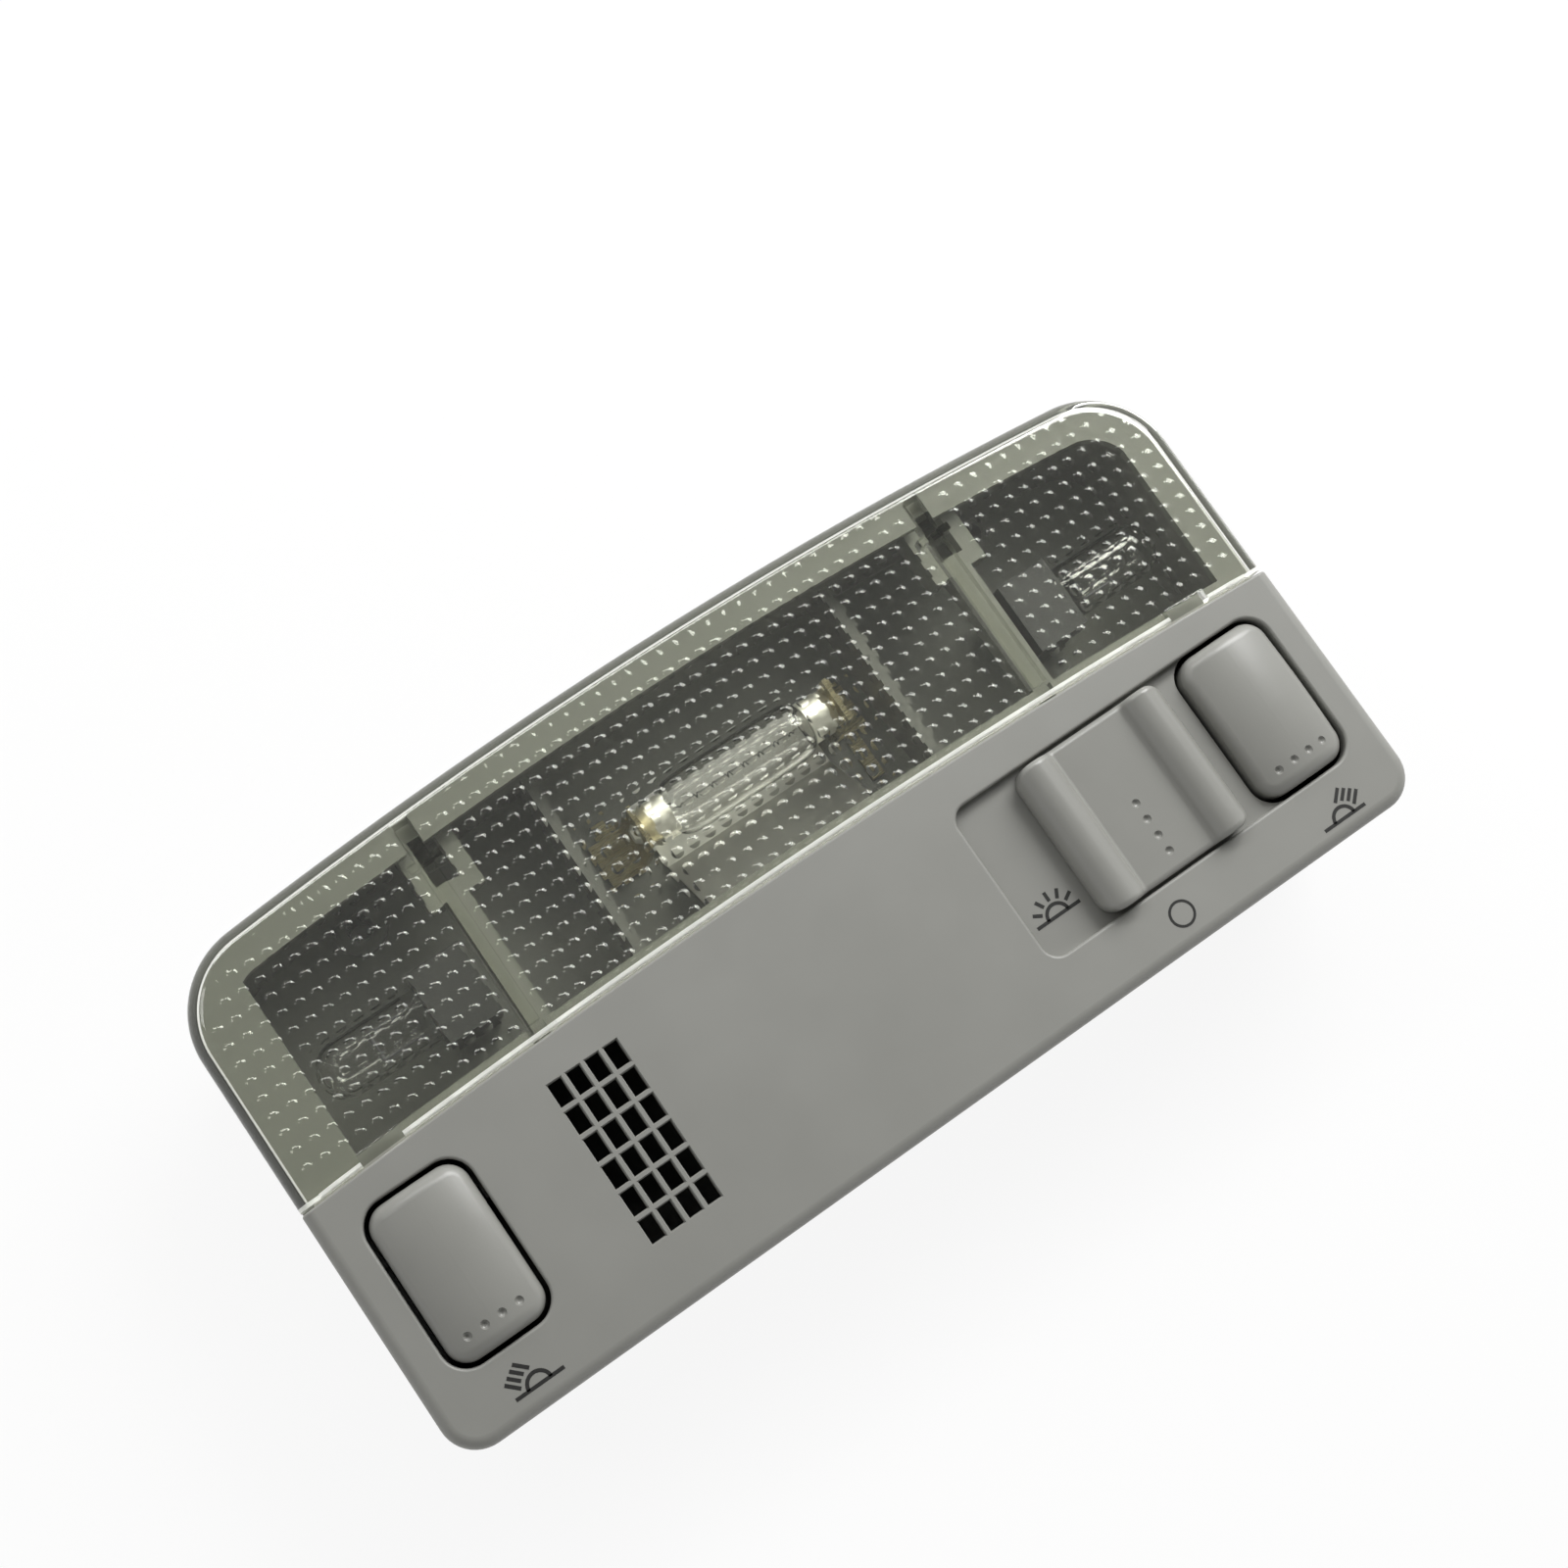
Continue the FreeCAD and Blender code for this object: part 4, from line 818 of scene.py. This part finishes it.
def dome_of(centre, radius):
    """Half a circle over a place, from its right end to its left."""
    angle = np.linspace(0, math.pi, dome_points)
    return np.array(centre) + radius * np.stack([np.cos(angle), np.sin(angle)], axis=-1)


def lamp_base(place, low_z):
    """The lamp: a base line with half a circle on it."""
    base = straight((place[0] - base_half, place[1]), (place[0] + base_half, place[1]))
    return [stroke(base, stroke_width, low_z), stroke(dome_of(place, dome_radius), stroke_width, low_z)]


def reading_symbol(place, side, low_z):
    """A lamp with four slanted parallel rays that lean to one side."""
    rays = []
    for begin, length in zip(slant_starts, slant_lengths):
        run = np.stack([begin, begin + slant * length]) * [side, 1] + place
        rays.append(stroke(straight(run[0], run[1]), stroke_width, low_z))
    return lamp_base(place, low_z) + rays


def dome_symbol(place, low_z):
    """A lamp with five rays that spread out from its middle."""
    rays = []
    for angle in np.radians(spread_degrees):
        ray = np.array([math.cos(angle), math.sin(angle)])
        run = straight(place + spread_start * ray, place + spread_end * ray)
        rays.append(stroke(run, stroke_width, low_z))
    return lamp_base(place, low_z) + rays


def ring_symbol(place, radius, low_z):
    """A ring: a closed stroke along a circle."""
    angle = np.linspace(0, 2 * math.pi, ring_points, endpoint=False)
    circle = place + radius * np.stack([np.cos(angle), np.sin(angle)], axis=-1)
    return [stroke(circle, ring_width, low_z, closed=True)]


print("rays beside a button:", len(slant_starts), "rays beside the slider:", len(spread_degrees))

# %% Symbols on the panel
left_place = np.array([-77.3, -41.5])
right_place = np.array([78.4, -42.15])
dome_place = np.array([29.9, -28.62])
ring_place = np.array([46.2, -39.6])
recess_depth = 2.0
recess_z = face_z - recess_depth
make_piece("left_reading_symbol", reading_symbol(left_place, -1, face_z), ink, "base")
make_piece("right_reading_symbol", reading_symbol(right_place, 1, face_z), ink, "base")
make_piece("dome_symbol", dome_symbol(dome_place, recess_z), ink, "base")
make_piece("ring_symbol", ring_symbol(ring_place, ring_radius, face_z), ink, "base")

# %% [markdown]
# ## Floor and surroundings
# The part lies on a pale floor. For rays from the camera, a mirror or glass, nine tenths of the floor is
# plain white light, so that the background is white while a faint shadow still shows. Straight under
# the part there is none of that light, or it would shine up through the fixing holes. The world is white
# at the horizon and dims upwards, so that a glossy face that looks up stays calm.

# %% Floor
floor_half = 3.0
fibre_mm = 3.0
white_share = 0.9
under_half = (0.066, 0.0375)


def pale_floor():
    """Pale matt paper: white for a share of camera, mirror and glass rays, but not under the part."""
    material = blank_material("pale_paper_floor")
    tree = material.node_tree
    ray = add(tree, "ShaderNodeLightPath").outputs
    place = add(tree, "ShaderNodeTexCoord").outputs["Object"]
    fibre = add(tree, "ShaderNodeTexNoise", {"Scale": per_metre(fibre_mm)}, {"Vector": place}).outputs[0]
    tone = add(tree, "ShaderNodeMix", {"data_type": "RGBA", 6: linear("#f0f0ef"), 7: linear("#f4f4f3")},
               {0: fibre}).outputs[2]
    lit = add(tree, "ShaderNodeBsdfDiffuse", links={"Color": tone}).outputs[0]
    white = add(tree, "ShaderNodeEmission", {"Color": linear("#ffffff"), "Strength": 1.0}).outputs[0]
    mirror = add(tree, "ShaderNodeMath", {"operation": "MAXIMUM"},
                 {0: ray["Is Camera Ray"], 1: ray["Is Glossy Ray"]}).outputs[0]
    seen = add(tree, "ShaderNodeMath", {"operation": "MAXIMUM"},
               {0: mirror, 1: ray["Is Transmission Ray"]}).outputs[0]
    spot = add(tree, "ShaderNodeSeparateXYZ", links={0: place}).outputs
    within_x = add(tree, "ShaderNodeMath", {"operation": "COMPARE", 1: 0.0, 2: under_half[0]},
                   {0: spot["X"]}).outputs[0]
    within_y = add(tree, "ShaderNodeMath", {"operation": "COMPARE", 1: 0.0, 2: under_half[1]},
                   {0: spot["Y"]}).outputs[0]
    under = add(tree, "ShaderNodeMath", {"operation": "MULTIPLY"}, {0: within_x, 1: within_y}).outputs[0]
    beside = add(tree, "ShaderNodeMath", {"operation": "SUBTRACT", 0: 1.0}, {1: under}).outputs[0]
    shown = add(tree, "ShaderNodeMath", {"operation": "MULTIPLY"}, {0: seen, 1: beside}).outputs[0]
    whiter = add(tree, "ShaderNodeMath", {"operation": "MULTIPLY", 1: white_share}, {0: shown}).outputs[0]
    shader = add(tree, "ShaderNodeMixShader", links={0: whiter, 1: lit, 2: white}).outputs[0]
    add(tree, "ShaderNodeOutputMaterial", links={"Surface": shader})
    return material


floor_corners = floor_half * np.array([[-1, -1, 0], [1, -1, 0], [1, 1, 0], [-1, 1, 0]])
floor_mesh = bpy.data.meshes.new("floor")
floor_mesh.from_pydata(floor_corners.tolist(), [], [(0, 1, 2, 3)])
# Pale paper: white and matt, with a faint shadow round the part
floor_mesh.materials.append(pale_floor())
floor = bpy.data.objects.new("floor", floor_mesh)
bpy.context.collection.objects.link(floor)
print("floor is", 2 * floor_half, "m wide")

# %% World
white_below = 0.2
dim_above = 0.7
dim_light = 0.06

world = bpy.data.worlds.new("soft_studio")
bpy.context.scene.world = world
world.use_nodes = True
world.node_tree.nodes.clear()
outlook = add(world.node_tree, "ShaderNodeTexCoord").outputs["Generated"]
upward = add(world.node_tree, "ShaderNodeSeparateXYZ", links={0: outlook}).outputs["Z"]
dimming = add(world.node_tree, "ShaderNodeMapRange",
              {"From Min": white_below, "From Max": dim_above, "To Min": 1.0, "To Max": dim_light},
              {"Value": upward}).outputs[0]
sky = add(world.node_tree, "ShaderNodeBackground", {"Color": linear("#ffffff")}, {"Strength": dimming})
add(world.node_tree, "ShaderNodeOutputWorld", links={"Surface": sky.outputs[0]})
print("light from straight above:", dim_light)

# %% [markdown]
# ## Lamps and camera
# Three lamps light the part: a large one from the right, a small weak one from the left, and a long
# strip from behind that puts a bright streak into each dimple. They stand away from where the flat face
# of the lens would mirror them into the camera, so that the lens stays clear. The camera looks down on
# the face, and it is turned so that the part lies across the picture.

# %% Lamps
part_middle = Vector((0, 0, 0.02))


def soft_lamp(name, place, width, height, power):
    """A rectangular lamp at a place, turned to the middle of the part."""
    lamp = bpy.data.lights.new(name, "AREA")
    lamp.shape = "RECTANGLE"
    lamp.size = width
    lamp.size_y = height
    lamp.energy = power
    holder = bpy.data.objects.new(name, lamp)
    towards = part_middle - Vector(place)
    turned = towards.to_track_quat("-Z", "Y").to_matrix().to_4x4()
    holder.matrix_world = Matrix.Translation(place) @ turned
    bpy.context.collection.objects.link(holder)


soft_lamp("key_lamp", place=(0.53, 0.34, 0.49), width=0.46, height=0.42, power=6.2)
soft_lamp("fill_lamp", place=(-0.50, 0.42, 0.75), width=0.22, height=0.22, power=0.6)
soft_lamp("strip_lamp", place=(0.12, 0.55, 0.60), width=0.9, height=0.10, power=2.4)
print("lamps:", len(bpy.data.lights))

# %% Camera
camera_data = bpy.data.cameras.new("photo_camera")
camera_data.sensor_width = 36.0
camera_data.lens = 51.75
camera = bpy.data.objects.new("photo_camera", camera_data)
camera_place = Vector((-0.0724, -0.02345, 0.381))
camera_right = Vector((0.81519, -0.56618, 0.12206))
camera_up = Vector((0.53727, 0.81792, 0.20576))
camera_back = camera_right.cross(camera_up)
camera_turn = Matrix((camera_right, camera_up, camera_back)).transposed().to_4x4()
camera.matrix_world = Matrix.Translation(camera_place) @ camera_turn
bpy.context.collection.objects.link(camera)
bpy.context.scene.camera = camera
bpy.context.scene.view_settings.view_transform = "Standard"
print("camera looks along", [round(v, 3) for v in -camera_back])
